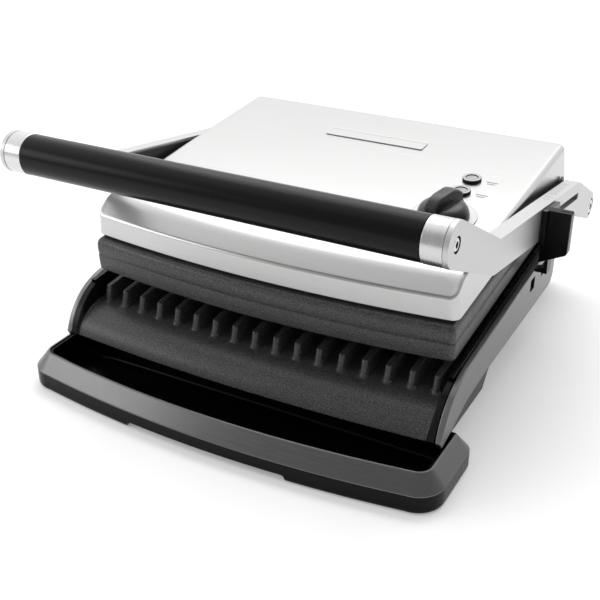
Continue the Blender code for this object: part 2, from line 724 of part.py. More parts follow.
def lid_cover():
    rings = cover_rings(0.0) + cover_rings(SHEET)[::-1]
    bm = bmesh.new()
    loops = [[bm.verts.new(lean() @ Vector(p)) for p in ring] for ring in rings]
    half = len(loops) // 2
    loft_faces(bm, loops[:half], True)
    loft_faces(bm, loops[half:], True)
    loft_faces(bm, [loops[-1], loops[0]], True)
    bm.faces.new(loops[half - 1])
    bm.faces.new(loops[half])
    ob = add_part("lid_cover", mesh_of(bm, "lid_cover"), "steel")
    cut(ob, turned([(0.0, 0.040), (0.0050, 0.040), (0.0050, 0.020), (0.0, 0.020)], at_lid(*DIAL, 0.0), 24))
    for x, s in LAMPS.values():
        cut(ob, turned([(0.0, 0.040), (0.0062, 0.040), (0.0062, 0.020), (0.0, 0.020)], at_lid(x, s, 0.0), 24))
    for side in (-1, 1):
        cut(ob, rod_x(side * 0.150, side * 0.170, LID_PIVOT, 0.0027))
    return ob


def at_lid(x, s, n):
    return lean() @ Matrix.Translation((x, s, n))


def lid_frame():
    """Black inner frame behind the cover's lower edge, with bosses for the hinge pins."""
    outer = [ring_at(plan(0.1585, 0.0012, 0.2620, 0.0093, 0.008, 0.008, 0.0), n) for n in (-0.0022, -GAP)]
    ob = add_part("lid_frame", loft(outer, lean()), "satin")
    opening = plan(0.130, 0.030, 0.215, 0.0, 0.010, 0.010)
    cut(ob, loft([ring_at(opening, -0.010), ring_at(opening, 0.010)], lean()))
    for side in (-1, 1):
        boss = rounded([(0.2300, -0.0012, 0.0), (0.2550, -0.0012, 0.0), (0.2530, 0.0120, 0.004),
                        (0.2320, 0.0120, 0.004)], 2)
        place = lean()
        rings = [[place @ Vector((x, s, n)) for s, n in boss] for x in (side * 0.1430, side * 0.1570)]
        join(ob, loft(rings))
        cut(ob, rod_x(side * 0.146, side * 0.162, LID_PIVOT, 0.0027, 24))
    return ob


def lid_hinge(side):
    name = "lid_hinge_right" if side > 0 else "lid_hinge_left"
    place = Matrix.Translation((0.0, *LID_PIVOT)) @ Matrix.Rotation(side * pi / 2, 4, "Y")
    profile = [(0.0, 0.1740), (0.0020, 0.1740), (0.0023, 0.1736), (0.0023, 0.1634), (0.0056, 0.1634),
               (0.0056, 0.1620), (0.0023, 0.1620), (0.0023, 0.1468), (0.0, 0.1468)]
    return add_part(name, turned(profile, place, 20), "element")


def upper_plate():
    def level(inset, n):
        return ring_at(plan(PLATE_HALF, -0.0065, PLATE_DEPTH, PLATE_BOW, 0.006, 0.006, inset), n)
    walls = [level(0.0, -0.0026), level(0.0014, -0.0150), level(0.0014, -0.0165),
             level(0.0006, PLATE_LOW + 0.0010), level(0.0016, PLATE_LOW)]
    ob = add_part("upper_plate", loft(walls, lean()), "cast")
    back = plan(0.1560, 0.0005, 0.2440, PLATE_BOW, 0.008, 0.006)
    cut(ob, loft([ring_at(back, -0.0165), ring_at(back, 0.004)], lean()))
    face = plan(0.1555, 0.0010, 0.2430, PLATE_BOW, 0.008, 0.006)
    cut(ob, loft([ring_at(face, -0.0400), ring_at(face, -0.0215)], lean()))
    join(ob, upper_ribs())
    return ob


def upper_ribs():
    bm = bmesh.new()
    for k in range(RIB_COUNT):
        x = (k - (RIB_COUNT - 1) / 2) * RIB_PITCH
        bow = PLATE_BOW * (1 - (x / 0.150) ** 2)
        rings = []
        for s_foot, s_tip in ((0.0100 - bow, 0.0140 - bow), (0.2360, 0.2320)):
            rings.append([(x - 0.0038, s_foot, -0.0205), (x - RIB_HALF, s_tip, PLATE_LOW + 0.0004),
                          (x + RIB_HALF, s_tip, PLATE_LOW + 0.0004), (x + 0.0038, s_foot, -0.0205)])
        loops = [[bm.verts.new(lean() @ Vector(p)) for p in ring] for ring in rings]
        loft_faces(bm, loops, False)
    return mesh_of(bm, "upper_ribs")


def thermostat():
    x, s = DIAL
    body = loft([ring_at([(x - 0.013, s - 0.015), (x + 0.013, s - 0.015), (x + 0.013, s + 0.015),
                          (x - 0.013, s + 0.015)], n) for n in (0.0020, 0.0160)], lean())
    ob = add_part("thermostat", body, "galvanised")
    shaft = [(0.0, 0.0400), (0.0028, 0.0400), (0.0028, 0.0150), (0.0, 0.0150)]
    join(ob, turned(shaft, at_lid(x, s, 0.0), 24))
    return ob


def dial_bezel():
    top = COVER_TOP + GAP
    profile = [(0.0266, top), (0.0266, top + 0.0003), (0.0262, top + 0.0006), (0.0248, top + 0.0006),
               (0.0228, top + 0.0004), (0.0048, top + 0.0004), (0.0048, top), (0.0266, top)]
    return add_part("dial_bezel", turned(profile, at_lid(*DIAL, 0.0), 28), "silver")


def dial_knob():
    base = COVER_TOP + 0.0012
    profile = [(0.0, base + 0.0112), (0.0105, base + 0.0103), (0.0145, base + 0.0097),
               (0.0175, base + 0.0081), (0.0193, base + 0.0054), (0.0203, base + 0.0020), (0.0205, base),
               (0.0, base)]
    ob = add_part("dial_knob", turned(profile, at_lid(*DIAL, 0.0), 28), "black")
    fin = rounded([(-0.0194, 0.0030, 0.0), (0.0194, 0.0030, 0.0), (0.0192, 0.0120, 0.006),
                   (0.0105, 0.0197, 0.012), (-0.0105, 0.0197, 0.012), (-0.0192, 0.0120, 0.006)], 4)
    place = at_lid(*DIAL, base) @ Matrix.Rotation(radians(78.0), 4, "Z")
    join(ob, loft([[(a, -0.0057, n) for a, n in fin], [(a, 0.0057, n) for a, n in fin]], place))
    cut(ob, turned([(0.0, 0.0402), (0.0031, 0.0402), (0.0031, 0.020), (0.0, 0.020)], at_lid(*DIAL, 0.0), 24))
    return ob


def lamp_ring(key):
    x, s = LAMPS[key]
    top = COVER_TOP + GAP
    profile = [(0.0050, top + 0.0020), (0.0056, top + 0.0027), (0.0070, top + 0.0027), (0.0079, top + 0.0019),
               (0.0079, top), (0.0059, top), (0.0059, top - 0.0060), (0.0050, top - 0.0060),
               (0.0050, top + 0.0020)]
    return add_part("lamp_ring_" + key, turned(profile, at_lid(x, s, 0.0), 16), "gunmetal")


def lamp_lens(key):
    x, s = LAMPS[key]
    top = COVER_TOP + GAP
    profile = [(0.0, top + 0.0006), (0.0024, top + 0.0009), (0.0047, top + 0.0018), (0.0047, top - 0.0100),
               (0.0, top - 0.0100)]
    return add_part("lamp_lens_" + key, turned(profile, at_lid(x, s, 0.0), 16), "lens")


def badge_plate():
    outline = plan(0.0480, 0.2000, 0.2155, 0.0, 0.0015, 0.0015, 0.0, 2, 2)
    top = COVER_TOP + GAP
    rings = [ring_at(outline, top), ring_at(outline, top + 0.0006)]
    return add_part("badge_plate", loft(rings, lean()), "steel")


def set_origin(ob, point):
    """Move the object's origin onto a point without moving its shape."""
    ob.data.transform(Matrix.Translation(-Vector(point)))
    ob.matrix_world = Matrix.Translation(point)


def build():
    base_housing()
    lower_plate()
    tube("lower_element", element_path(0.120, 0.030, 0.180, 0.0), 0.0032, "element",
         lean() @ Matrix.Translation((0.0, 0.0, BED_UNDER - 0.0036)))
    lower_reflector()
    cord_inlet()
    for side in (-1, 1):
        side_band(side)
        hinge_bracket(side)
        pivot_bolt(side)
        word = "right" if side > 0 else "left"
        foot("foot_front_" + word, side * 0.138, -0.080, 0.0020 - GAP, 0.0120)
        foot("foot_rear_" + word, side * 0.120, 0.165, PAN_LOW - GAP, 0.0120)
    set_origin(tray_basin(), (0.0, TRAY_REAR, TRAY_BOTTOM))
    set_origin(tray_bezel(), (0.0, TRAY_REAR, TRAY_BOTTOM))
    arm_pieces = [grip(), grip_rod()]
    for side in (-1, 1):
        arm_pieces += [arm(side), arm_liner(side), grip_collar(side), grip_screw(side)]
    for ob in arm_pieces:
        set_origin(ob, (0.0, *PIVOT))
    set_origin(height_slider(), (ARM_OUT, 0.026, arm_line(0.026, 0.013)))
    upper_path = element_path(0.120, 0.030, 0.200, -0.0125)
    lid_pieces = [lid_cover(), lid_frame(), upper_plate(), thermostat(), dial_bezel(), badge_plate(),
                  lid_hinge(-1), lid_hinge(1), tube("upper_element", upper_path, 0.0032, "element", lean())]
    for key in LAMPS:
        lid_pieces += [lamp_ring(key), lamp_lens(key)]
    for ob in lid_pieces:
        set_origin(ob, (0.0, *LID_PIVOT))
    set_origin(dial_knob(), leaned(*DIAL, COVER_TOP))
    for ob in bpy.context.scene.objects:
        ob.location += TO_CENTRE


build()
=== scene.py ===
"""Panini press: fine visible pieces, materials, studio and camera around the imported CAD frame."""
from math import cos, hypot, pi, radians, sin

import bmesh
import bpy
from mathutils import Matrix, Vector

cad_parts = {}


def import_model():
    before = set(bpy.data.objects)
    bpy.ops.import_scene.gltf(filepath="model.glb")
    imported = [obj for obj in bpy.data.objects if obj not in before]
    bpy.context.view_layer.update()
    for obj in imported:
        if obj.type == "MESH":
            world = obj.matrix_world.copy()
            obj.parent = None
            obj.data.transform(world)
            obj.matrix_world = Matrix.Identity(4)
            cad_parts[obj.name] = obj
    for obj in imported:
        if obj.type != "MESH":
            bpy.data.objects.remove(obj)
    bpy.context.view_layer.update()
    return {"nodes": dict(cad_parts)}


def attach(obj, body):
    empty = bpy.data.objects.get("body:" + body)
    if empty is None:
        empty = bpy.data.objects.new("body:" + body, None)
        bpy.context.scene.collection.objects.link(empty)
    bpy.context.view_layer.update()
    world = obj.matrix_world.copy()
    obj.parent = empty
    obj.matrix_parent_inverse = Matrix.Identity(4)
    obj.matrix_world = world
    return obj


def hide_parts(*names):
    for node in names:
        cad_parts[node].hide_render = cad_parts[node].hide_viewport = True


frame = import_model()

# ---- driving dimensions, in metres, about the plane midway between the arms ----
TO_CENTRE = Vector((-0.0090, 0.0099, 0.0))  # from that plane's axes to the frame's
GAP = 0.0003  # clearance between neighbours
SIDES = ((-1, "left"), (1, "right"))
AXIS_X, AXIS_Y, AXIS_Z = 0, 1, 2

# the leaning frame (x, s back, n up): its tilt, and (y, z) of its origin at the lid's lower front
TILT = radians(4.6)
CORNER = (-0.1275, 0.1111)

# lid cover: half width, depth, bow of the front edge, level of the top, lean of the walls, corners
COVER_HALF, COVER_DEPTH, COVER_BOW = 0.1612, 0.2665, 0.0093
COVER_TOP, COVER_DRAFT, COVER_CORNER = 0.0305, 0.0022, 0.0072
SIDE_START, SIDE_POINTS = 0.036, 14  # extra points along the cover's sides, towards the front
DIAL = (0.1118, 0.0918)
DIAL_TURN = radians(78.0)
LAMPS = {"power": (0.1095, 0.1610), "ready": (0.1095, 0.1360)}
LID_BORE_IN, LID_BORE_OUT, LID_BORE_R = 0.154, 0.162, 0.0027  # holes for the hinge pins

# plates and their ribs; FACE is the level between the upper ribs, LOW the upper plate's lower edge
PLATE_HALF, PLATE_FRONT, PLATE_DEPTH, PLATE_BOW = 0.1617, -0.0065, 0.250, 0.010
PLATE_LOW, PLATE_FACE = -0.031, -0.0208
RIB_COUNT, RIB_PITCH, RIB_TOP, RIB_FOOT, RIB_BOW = 17, 0.01885, -0.0444, -0.0570, 0.0072
BOW_SPAN = 0.150  # half width over which the front edges bow
BED_HALF, BED_REAR, BED_UNDER, FLANGE_TOP = 0.1645, 0.230, -0.0605, -0.0385
APRON_TIP, APRON_TIP_BOW, APRON_LOW, APRON_TURN = -0.1680, 0.0060, 0.0335, radians(82.0)
NOSE_START, NOSE_BEND, NOSE_TIP = -0.118, (-0.1560, 0.0690), (-0.1690, 0.0350)
NOSE_STEPS = 24

# side bands and the notches in the right one
BAND_IN, BAND_OUT, BAND_REAR, BAND_LOW = 0.1650, 0.1700, 0.0970, 0.0460
NOTCHES, NOTCH_HALF, NOTCH_DROP, NOTCH_TALL = (0.030, 0.060), 0.0058, 0.0070, 0.0115

# arms, grip and pins; (y, z) of each axis
ARM_IN, ARM_OUT = 0.1658, 0.1780
CUT_IN, CUT_OUT = 0.150, 0.190  # x on either side of an arm, where cuts begin and end
ARM_FRONT, ARM_SLOPE = (-0.1000, 0.1687), radians(-8.7)
SLOT_FRONT, SLOT_REAR, SLOT_DROP, SLOT_LOW = 0.008, 0.119, 0.0100, 0.0160
PIVOT, LID_PIVOT = (0.1765, 0.0905), (0.1165, 0.1322)
GRIP_AXIS, GRIP_R, GRIP_HALF = (-0.1900, 0.2010), 0.0155, 0.1592
COLLAR_END, SOCKET_END = 0.1742, 0.1745  # x where the collar and its socket in the arm end
GRIP_RECESS, PIVOT_RECESS = (0.0058, 0.0016), (0.0078, 0.0025)  # radius and depth at each screw

# drip tray
TRAY_HALF, TRAY_CORNER, TRAY_REAR, TRAY_BOW = 0.1825, -0.2090, -0.1310, 0.0130
TRAY_WALL_TOP, TRAY_BOTTOM = 0.0152, 0.0004
RAIL_X, RAIL_HALF, RAIL_END = 0.110, 0.006, -0.030  # the two rails behind the tray


# ---- mesh helpers ----
def lean():
    """Placement of the leaning frame that the lid and the plates are drawn in."""
    return Matrix.Translation((0.0, *CORNER)) @ Matrix.Rotation(TILT, 4, "X")


def leaned(x, s, n):
    return lean() @ Vector((x, s, n))


def on_lid(centre, level=0.0):
    """Placement of a turned piece that stands on the lid at (x, s)."""
    return lean() @ Matrix.Translation((*centre, level))


def along_x(centre, side=1):
    """Placement that lays a turned piece along x, through (y, z)."""
    return Matrix.Translation((0.0, *centre)) @ Matrix.Rotation(side * pi / 2, 4, "Y")


def bed_line(y, n):
    """Height z at y of the leaning level n."""
    s = (y - CORNER[0] + n * sin(TILT)) / cos(TILT)
    return CORNER[1] + s * sin(TILT) + n * cos(TILT)


def arm_line(y, drop):
    """Height z at y of the line that runs a drop below the arm's straight top."""
    return ARM_FRONT[1] + (y - ARM_FRONT[0]) * sin(ARM_SLOPE) / cos(ARM_SLOPE) - drop


def bow_at(x):
    """Share of a front edge's bow at x."""
    return 1 - (x / BOW_SPAN) ** 2


def rib_x(k):
    return (k - (RIB_COUNT - 1) / 2) * RIB_PITCH


def mesh_of(bm):
    bmesh.ops.remove_doubles(bm, verts=bm.verts, dist=1e-6)
    bmesh.ops.recalc_face_normals(bm, faces=bm.faces)
    mesh = bpy.data.meshes.new("mesh")
    bm.to_mesh(mesh)
    bm.free()
    return mesh


def bridge(bm, loops, closed=False):
    """Faces between successive rings, with flat ends unless the rings close on themselves."""
    pairs = list(zip(loops[:-1], loops[1:]))
    if closed:
        pairs.append((loops[-1], loops[0]))
    for a, b in pairs:
        count = max(len(a), len(b))
        for k in range(count):
            j = (k + 1) % count
            if len(a) == 1:
                bm.faces.new((a[0], b[k], b[j]))
            elif len(b) == 1:
                bm.faces.new((a[k], b[0], a[j]))
            else:
                bm.faces.new((a[k], b[k], b[j], a[j]))
    if not closed:
        for end in (loops[0], loops[-1]):
            if len(end) > 1:
                bm.faces.new(end)


def loft(rings, place=Matrix.Identity(4), closed=False):
    bm = bmesh.new()
    bridge(bm, [[bm.verts.new(place @ Vector(p)) for p in ring] for ring in rings], closed)
    return mesh_of(bm)


def prism(axis, outline, start, end, place=Matrix.Identity(4)):
    """Prism along one axis; the outline's points hold the other two coordinates in order."""
    return loft([[(*p[:axis], t, *p[axis:]) for p in outline] for t in (start, end)], place)


def turned(profile, place, segments=96, closed=False):
    """Body turned from (radius, height) points."""
    rings = []
    for radius, height in profile:
        if radius < 1e-7:
            rings.append([(0.0, 0.0, height)])
            continue
        rings.append([(radius * cos(2 * pi * k / segments), radius * sin(2 * pi * k / segments),
                       height) for k in range(segments)])
    return loft(rings, place, closed)


def rod_x(x0, x1, centre, radius, segments=64):
    return turned([(0.0, x1), (radius, x1), (radius, x0), (0.0, x0)], along_x(centre), segments)


def rounded(corners, steps=10):
    """Outline of (a, b, radius) corners with each corner turned into an arc."""
    out = []
    count = len(corners)
    for i, (a, b, radius) in enumerate(corners):
        if radius <= 0.0:
            out.append((a, b))
            continue
        here = Vector((a, b))
        to_last = Vector(corners[i - 1][:2]) - here
        to_next = Vector(corners[(i + 1) % count][:2]) - here
        half = to_last.angle(to_next) / 2
        reach = min(radius / max(1e-6, abs(sin(half) / cos(half))),
                    to_last.length * 0.49, to_next.length * 0.49)
        start = here + to_last.normalized() * reach
        end = here + to_next.normalized() * reach
        for k in range(steps + 1):
            t = k / steps
            p = start * (1 - t) ** 2 + here * 2 * t * (1 - t) + end * t ** 2
            out.append((p.x, p.y))
    return out


def plan(half, front, rear, bow, r_front, r_rear, steps=10, front_steps=48):
    """Plan outline with a bowed front edge: (x, y) points, the same count for any size."""
    pts = []
    for k in range(steps + 1):
        a = pi / 2 * k / steps
        pts.append((half - r_rear + r_rear * sin(a), rear - r_rear + r_rear * cos(a)))
    for k in range(steps + 1):
        a = pi / 2 * k / steps
        pts.append((half - r_front + r_front * cos(a), front + r_front - r_front * sin(a)))
    span = half - r_front
    for k in range(1, front_steps):
        x = span * (1 - 2 * k / front_steps)
        pts.append((x, front - bow * (1 - (x / span) ** 2)))
    pts += [(-x, y) for x, y in pts[steps + 1:2 * steps + 2][::-1]]
    pts += [(-x, y) for x, y in pts[:steps + 1][::-1]]
    return pts


def ring_at(points, n):
    return [(x, s, n) for x, s in points]


def temp_object(mesh):
    ob = bpy.data.objects.new("temp", mesh)
    bpy.context.scene.collection.objects.link(ob)
    return ob


def evaluated(ob):
    graph = bpy.context.evaluated_depsgraph_get()
    mesh = bpy.data.meshes.new_from_object(ob.evaluated_get(graph))
    bpy.data.objects.remove(ob, do_unlink=True)
    return mesh


def boolean(mesh, other, operation="DIFFERENCE"):
    ob, tool = temp_object(mesh), temp_object(other)
    mod = ob.modifiers.new("cut", "BOOLEAN")
    mod.operation, mod.solver, mod.object = operation, "EXACT", tool
    out = evaluated(ob)
    bpy.data.objects.remove(tool, do_unlink=True)
    return out


def bevelled(mesh, width, segments=3, angle=35.0):
    ob = temp_object(mesh)
    mod = ob.modifiers.new("edge", "BEVEL")
    mod.width, mod.segments, mod.limit_method = width, segments, "ANGLE"
    mod.angle_limit = radians(angle)
    mod.miter_outer = "MITER_ARC"
    return evaluated(ob)


def tidy_normals(mesh, angle):
    mesh.polygons.foreach_set("use_smooth", [True] * len(mesh.polygons))
    mesh.set_sharp_from_angle(angle=radians(angle))
    ob = temp_object(mesh)
    mod = ob.modifiers.new("weigh", "WEIGHTED_NORMAL")
    mod.keep_sharp, mod.weight = True, 100
    return evaluated(ob)


def joined(meshes):
    bm = bmesh.new()
    for mesh in meshes:
        bm.from_mesh(mesh)
    out = bpy.data.meshes.new("mesh")
    bm.to_mesh(out)
    bm.free()
    return out


def piece(name, mesh, body, mats, replaced=(), angle=40.0):
    """A visible piece in place, riding on its body; edges sharper than the angle stay sharp."""
    mesh.transform(Matrix.Translation(TO_CENTRE))
    mesh = tidy_normals(mesh, angle)
    mesh.name = name
    ob = bpy.data.objects.new(name, mesh)
    bpy.context.scene.collection.objects.link(ob)
    index = [face.material_index for face in mesh.polygons]
    mesh.materials.clear()
    for mat in (mats if isinstance(mats, (list, tuple)) else [mats]):
        mesh.materials.append(mat)
    mesh.polygons.foreach_set("material_index", index)
    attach(ob, body)
    if replaced:
        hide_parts(*([replaced] if isinstance(replaced, str) else replaced))


def refined(node, body, mat, width, segments=2):
    """The CAD node's own shape with its edges broken."""
    source = frame["nodes"][node].data
    bm = bmesh.new()
    bm.from_mesh(source)
    bmesh.ops.remove_doubles(bm, verts=bm.verts, dist=2e-6)
    bmesh.ops.dissolve_limit(bm, angle_limit=radians(1.0), verts=bm.verts, edges=bm.edges)
    mesh = bpy.data.meshes.new("mesh")
    bm.to_mesh(mesh)
    bm.free()
    mesh = bevelled(mesh, width, segments)
    mesh.transform(Matrix.Translation(-TO_CENTRE))
    piece(node + "_fine", mesh, body, mat, node)


# ---- materials ----
GRAIN_DETAIL, GRAIN_ROUGHNESS, GRAIN_BAND = 3.0, 0.6, (0.3, 0.7)
FLECK_SCALE, FLECK_DETAIL, FLECK_BAND = 1400.0, 1.5, (0.40, 0.72)
ROUGH_BAND = (0.25, 0.75)
PLASTIC_IOR = 1.5


def noise_node(nodes, links, vector, scale, detail):
    noise = nodes.new("ShaderNodeTexNoise")
    noise.inputs["Scale"].default_value = scale
    noise.inputs["Detail"].default_value = detail
    links.new(vector, noise.inputs["Vector"])
    return noise


def ramp_node(nodes, links, value, band, low, high):
    """Colour ramp between two colours over a band of the value."""
    ramp = nodes.new("ShaderNodeValToRGB")
    for element, position, colour in zip(ramp.color_ramp.elements, band, (low, high)):
        element.position, element.color = position, (*colour, 1.0)
    links.new(value, ramp.inputs["Fac"])
    return ramp.outputs["Color"]


def material(name, colour, rough, grain, metal=0.0, tone=0.1, spread=0.05, relief=None,
             specular=0.5, speckle=0.0, coat=0.0, coat_rough=0.1):
    """Principled surface whose colour, roughness and relief follow a noise grain.

    grain: noise scale, or one scale per axis for a brushed direction; tone and spread: how far
    colour and roughness stray; relief: bump strength and distance; speckle: brightness of flecks.
    """
    mat = bpy.data.materials.new(name)
    mat.use_nodes = True
    nodes, links = mat.node_tree.nodes, mat.node_tree.links
    shader = nodes["Principled BSDF"]
    shader.inputs["Metallic"].default_value = metal
    shader.inputs["Coat Weight"].default_value = coat
    shader.inputs["Coat Roughness"].default_value = coat_rough
    shader.inputs["Specular IOR Level"].default_value = specular
    shader.inputs["IOR"].default_value = PLASTIC_IOR
    where = nodes.new("ShaderNodeTexCoord")
    stretch = nodes.new("ShaderNodeMapping")
    stretch.inputs["Scale"].default_value = grain if isinstance(grain, tuple) else (grain,) * 3
    links.new(where.outputs["Object"], stretch.inputs["Vector"])
    noise = noise_node(nodes, links, stretch.outputs["Vector"], 1.0, GRAIN_DETAIL)
    noise.inputs["Roughness"].default_value = GRAIN_ROUGHNESS
    low = [min(1.0, c * (1.0 - tone)) for c in colour]
    high = [min(1.0, c * (1.0 + tone)) for c in colour]
    base = ramp_node(nodes, links, noise.outputs["Fac"], GRAIN_BAND, low, high)
    height = noise.outputs["Fac"]
    if speckle > 0.0:
        fleck = noise_node(nodes, links, where.outputs["Object"], FLECK_SCALE, FLECK_DETAIL)
        lift = ramp_node(nodes, links, fleck.outputs["Fac"], FLECK_BAND, (0.0,) * 3,
                         (speckle,) * 3)
        add = nodes.new("ShaderNodeMix")
        add.data_type, add.blend_type = "RGBA", "ADD"
        add.inputs[0].default_value = 1.0
        links.new(base, add.inputs[6])
        links.new(lift, add.inputs[7])
        base, height = add.outputs[2], fleck.outputs["Fac"]
    links.new(base, shader.inputs["Base Color"])
    span = nodes.new("ShaderNodeMapRange")
    span.inputs["From Min"].default_value, span.inputs["From Max"].default_value = ROUGH_BAND
    span.inputs["To Min"].default_value = max(0.02, rough - spread)
    span.inputs["To Max"].default_value = min(1.0, rough + spread)
    links.new(noise.outputs["Fac"], span.inputs["Value"])
    links.new(span.outputs["Result"], shader.inputs["Roughness"])
    if relief:
        bump = nodes.new("ShaderNodeBump")
        bump.inputs["Strength"].default_value, bump.inputs["Distance"].default_value = relief
        links.new(height, bump.inputs["Height"])
        links.new(bump.outputs["Normal"], shader.inputs["Normal"])
    return mat


STEEL = material("cover_steel", (0.53, 0.53, 0.527), 0.30, (6.0, 900.0, 900.0), metal=1.0,
                 tone=0.025, spread=0.03, relief=(0.03, 0.00003))
DISH = material("dial_dish_grey", (0.44, 0.44, 0.44), 0.40, 700.0, metal=1.0,
                tone=0.03, spread=0.03, relief=(0.03, 0.00003))
SIDE_STEEL = material("side_steel", (0.19, 0.19, 0.189), 0.36, (900.0, 10.0, 900.0), metal=1.0,
                      tone=0.05, spread=0.04, relief=(0.06, 0.00003))
COLLAR = material("collar_steel", (0.60, 0.60, 0.597), 0.27, (1600.0, 12.0, 12.0), metal=1.0,
                  tone=0.035, spread=0.04, relief=(0.06, 0.00003))
ARM = material("arm_satin", (0.55, 0.55, 0.548), 0.44, 2400.0, metal=1.0,
               tone=0.03, spread=0.03, relief=(0.06, 0.00003))
GUNMETAL = material("tray_gunmetal", (0.14, 0.14, 0.139), 0.33, (8.0, 900.0, 900.0), metal=1.0,
                    tone=0.06, relief=(0.08, 0.00003))
BRIGHT = material("screw_steel", (0.62, 0.62, 0.62), 0.18, 1200.0, metal=1.0,
                  tone=0.06, spread=0.04, relief=(0.05, 0.00002))
CAST = material("nonstick_cast", (0.010, 0.010, 0.011), 0.40, 120.0,
                tone=0.25, spread=0.08, relief=(0.30, 0.00014), speckle=0.09)
CAST_SMOOTH = material("nonstick_flange", (0.004, 0.004, 0.005), 0.28, 300.0,
                       tone=0.2, spread=0.06, relief=(0.06, 0.00004), specular=0.20)
BLACK = material("black_moulded", (0.010, 0.010, 0.011), 0.48, 1500.0,
                 tone=0.15, spread=0.06, relief=(0.12, 0.00005), specular=0.35)
GREY_PLASTIC = material("grey_moulded", (0.060, 0.062, 0.061), 0.50, 1500.0,
                        tone=0.12, spread=0.06, relief=(0.12, 0.00005))
GLOSS = material("black_gloss", (0.002, 0.002, 0.0025), 0.20, 60.0, spread=0.04, specular=0.12)
DIAL_BLACK = material("dial_black", (0.006, 0.006, 0.0065), 0.26, 300.0, spread=0.04,
                      specular=0.45)
TRAY = material("tray_black", (0.002, 0.0021, 0.0025), 0.26, 400.0, relief=(0.04, 0.00003),
                specular=0.12)
GRIP = material("grip_satin", (0.003, 0.003, 0.0035), 0.27, (30.0, 1600.0, 1600.0),
                tone=0.20, spread=0.04, relief=(0.06, 0.00002), specular=0.16)
RUBBER = material("foot_rubber", (0.02, 0.02, 0.02), 0.75, 900.0,
                  tone=0.2, spread=0.08, relief=(0.2, 0.00006))
SHEET = material("zinc_sheet", (0.50, 0.51, 0.52), 0.42, 220.0, metal=1.0,
                 tone=0.16, spread=0.10, relief=(0.05, 0.00003))
SHEATH = material("heater_sheath", (0.20, 0.19, 0.18), 0.45, 500.0, metal=1.0,
                  tone=0.2, spread=0.1, relief=(0.1, 0.00004))
DARK_STEEL = material("dark_steel", (0.10, 0.10, 0.10), 0.42, 600.0, metal=1.0,
                      tone=0.2, spread=0.08, relief=(0.06, 0.00004))
RING = material("lamp_ring", (0.34, 0.34, 0.34), 0.30, 900.0, metal=1.0, tone=0.04, spread=0.04)
LENS = material("lamp_lens", (0.40, 0.40, 0.39), 0.30, 500.0, tone=0.04, coat=0.5,
                coat_rough=0.08)
PRINT = material("printed_mark", (0.18, 0.18, 0.18), 0.60, 2000.0, tone=0.08)
# painted shade: near-black for the insides of screw recesses and notches, and for the lamp rings'
# walls
RECESS_SHADE = material("painted_recess_shade", (0.006, 0.006, 0.006), 0.6, 1500.0, tone=0.2, specular=0.2)


# ---- lid ----
def cover_outline(inset, draft, steps=10):
    """Plan outline at one level, with extra points along the sides near the front edge."""
    radius = max(COVER_CORNER - inset, 0.0008)
    base = plan(COVER_HALF - draft - inset, inset, COVER_DEPTH - draft * 0.4 - inset, COVER_BOW,
                radius, radius, steps)
    rear, front = base[:steps + 1], base[steps + 1:len(base) // 2 + 1]
    start, end = Vector((rear[-1][0], SIDE_START)), Vector(front[0])
    side = [tuple(start.lerp(end, k / SIDE_POINTS)) for k in range(SIDE_POINTS)]
    half = rear + side + front
    return half + [(-x, s) for x, s in half[:-1][::-1]]


def cover_height(x, s, inset):
    """Level of the lid's skin: it climbs behind the bowed front edge and rolls over at the rim."""
    back = s + COVER_BOW * (1 - min(1.0, abs(x) / (COVER_HALF - COVER_CORNER)) ** 2)
    profile = [(-0.010, 0.0175), (0.0000, 0.0175), (0.0023, 0.0192), (0.0125, 0.0268),
               (0.0145, 0.0281), (0.0165, 0.0290), (0.0195, 0.0299), (0.0235, 0.0304),
               (0.0290, COVER_TOP), (1.0, COVER_TOP)]
    level = COVER_TOP
    for (s0, n0), (s1, n1) in zip(profile[:-1], profile[1:]):
        if s0 <= back <= s1:
            level = n0 + (n1 - n0) * (back - s0) / (s1 - s0)
    radius = 0.0018 + 0.0037 * min(1.0, max(0.0, (back - 0.004) / 0.018))
    short = max(0.0, radius - inset)
    return level - radius + (radius * radius - short * short) ** 0.5


def cover():
    """Folded steel lid: vertical walls, rolled rim, sloping front face and a nearly flat top."""
    hem = ((0.0010, 0.0016, 0.0140), (0.0010, 0.0, 0.0001), (0.0003, 0.0, 0.0), (0.0, 0.0, 0.0005))
    rings = [ring_at(cover_outline(inset, draft), n) for inset, draft, n in hem]
    for inset in (0.0, 0.0001, 0.0003, 0.0006, 0.0010, 0.0015, 0.0020, 0.0026, 0.0033, 0.0042,
                  0.0053, 0.0066, 0.0083, 0.0100, 0.0118, 0.0132, 0.0145, 0.0158, 0.0172, 0.0187,
                  0.0205, 0.0225, 0.0250, 0.0290):
        outline = cover_outline(inset, COVER_DRAFT)
        rings.append([(x, s, cover_height(x, s, inset)) for x, s in outline])
    mesh = loft(rings, lean())
    for side, _ in SIDES:
        bore = rod_x(side * LID_BORE_IN, side * LID_BORE_OUT, LID_PIVOT, LID_BORE_R, 48)
        mesh = boolean(mesh, bore)
    return mesh


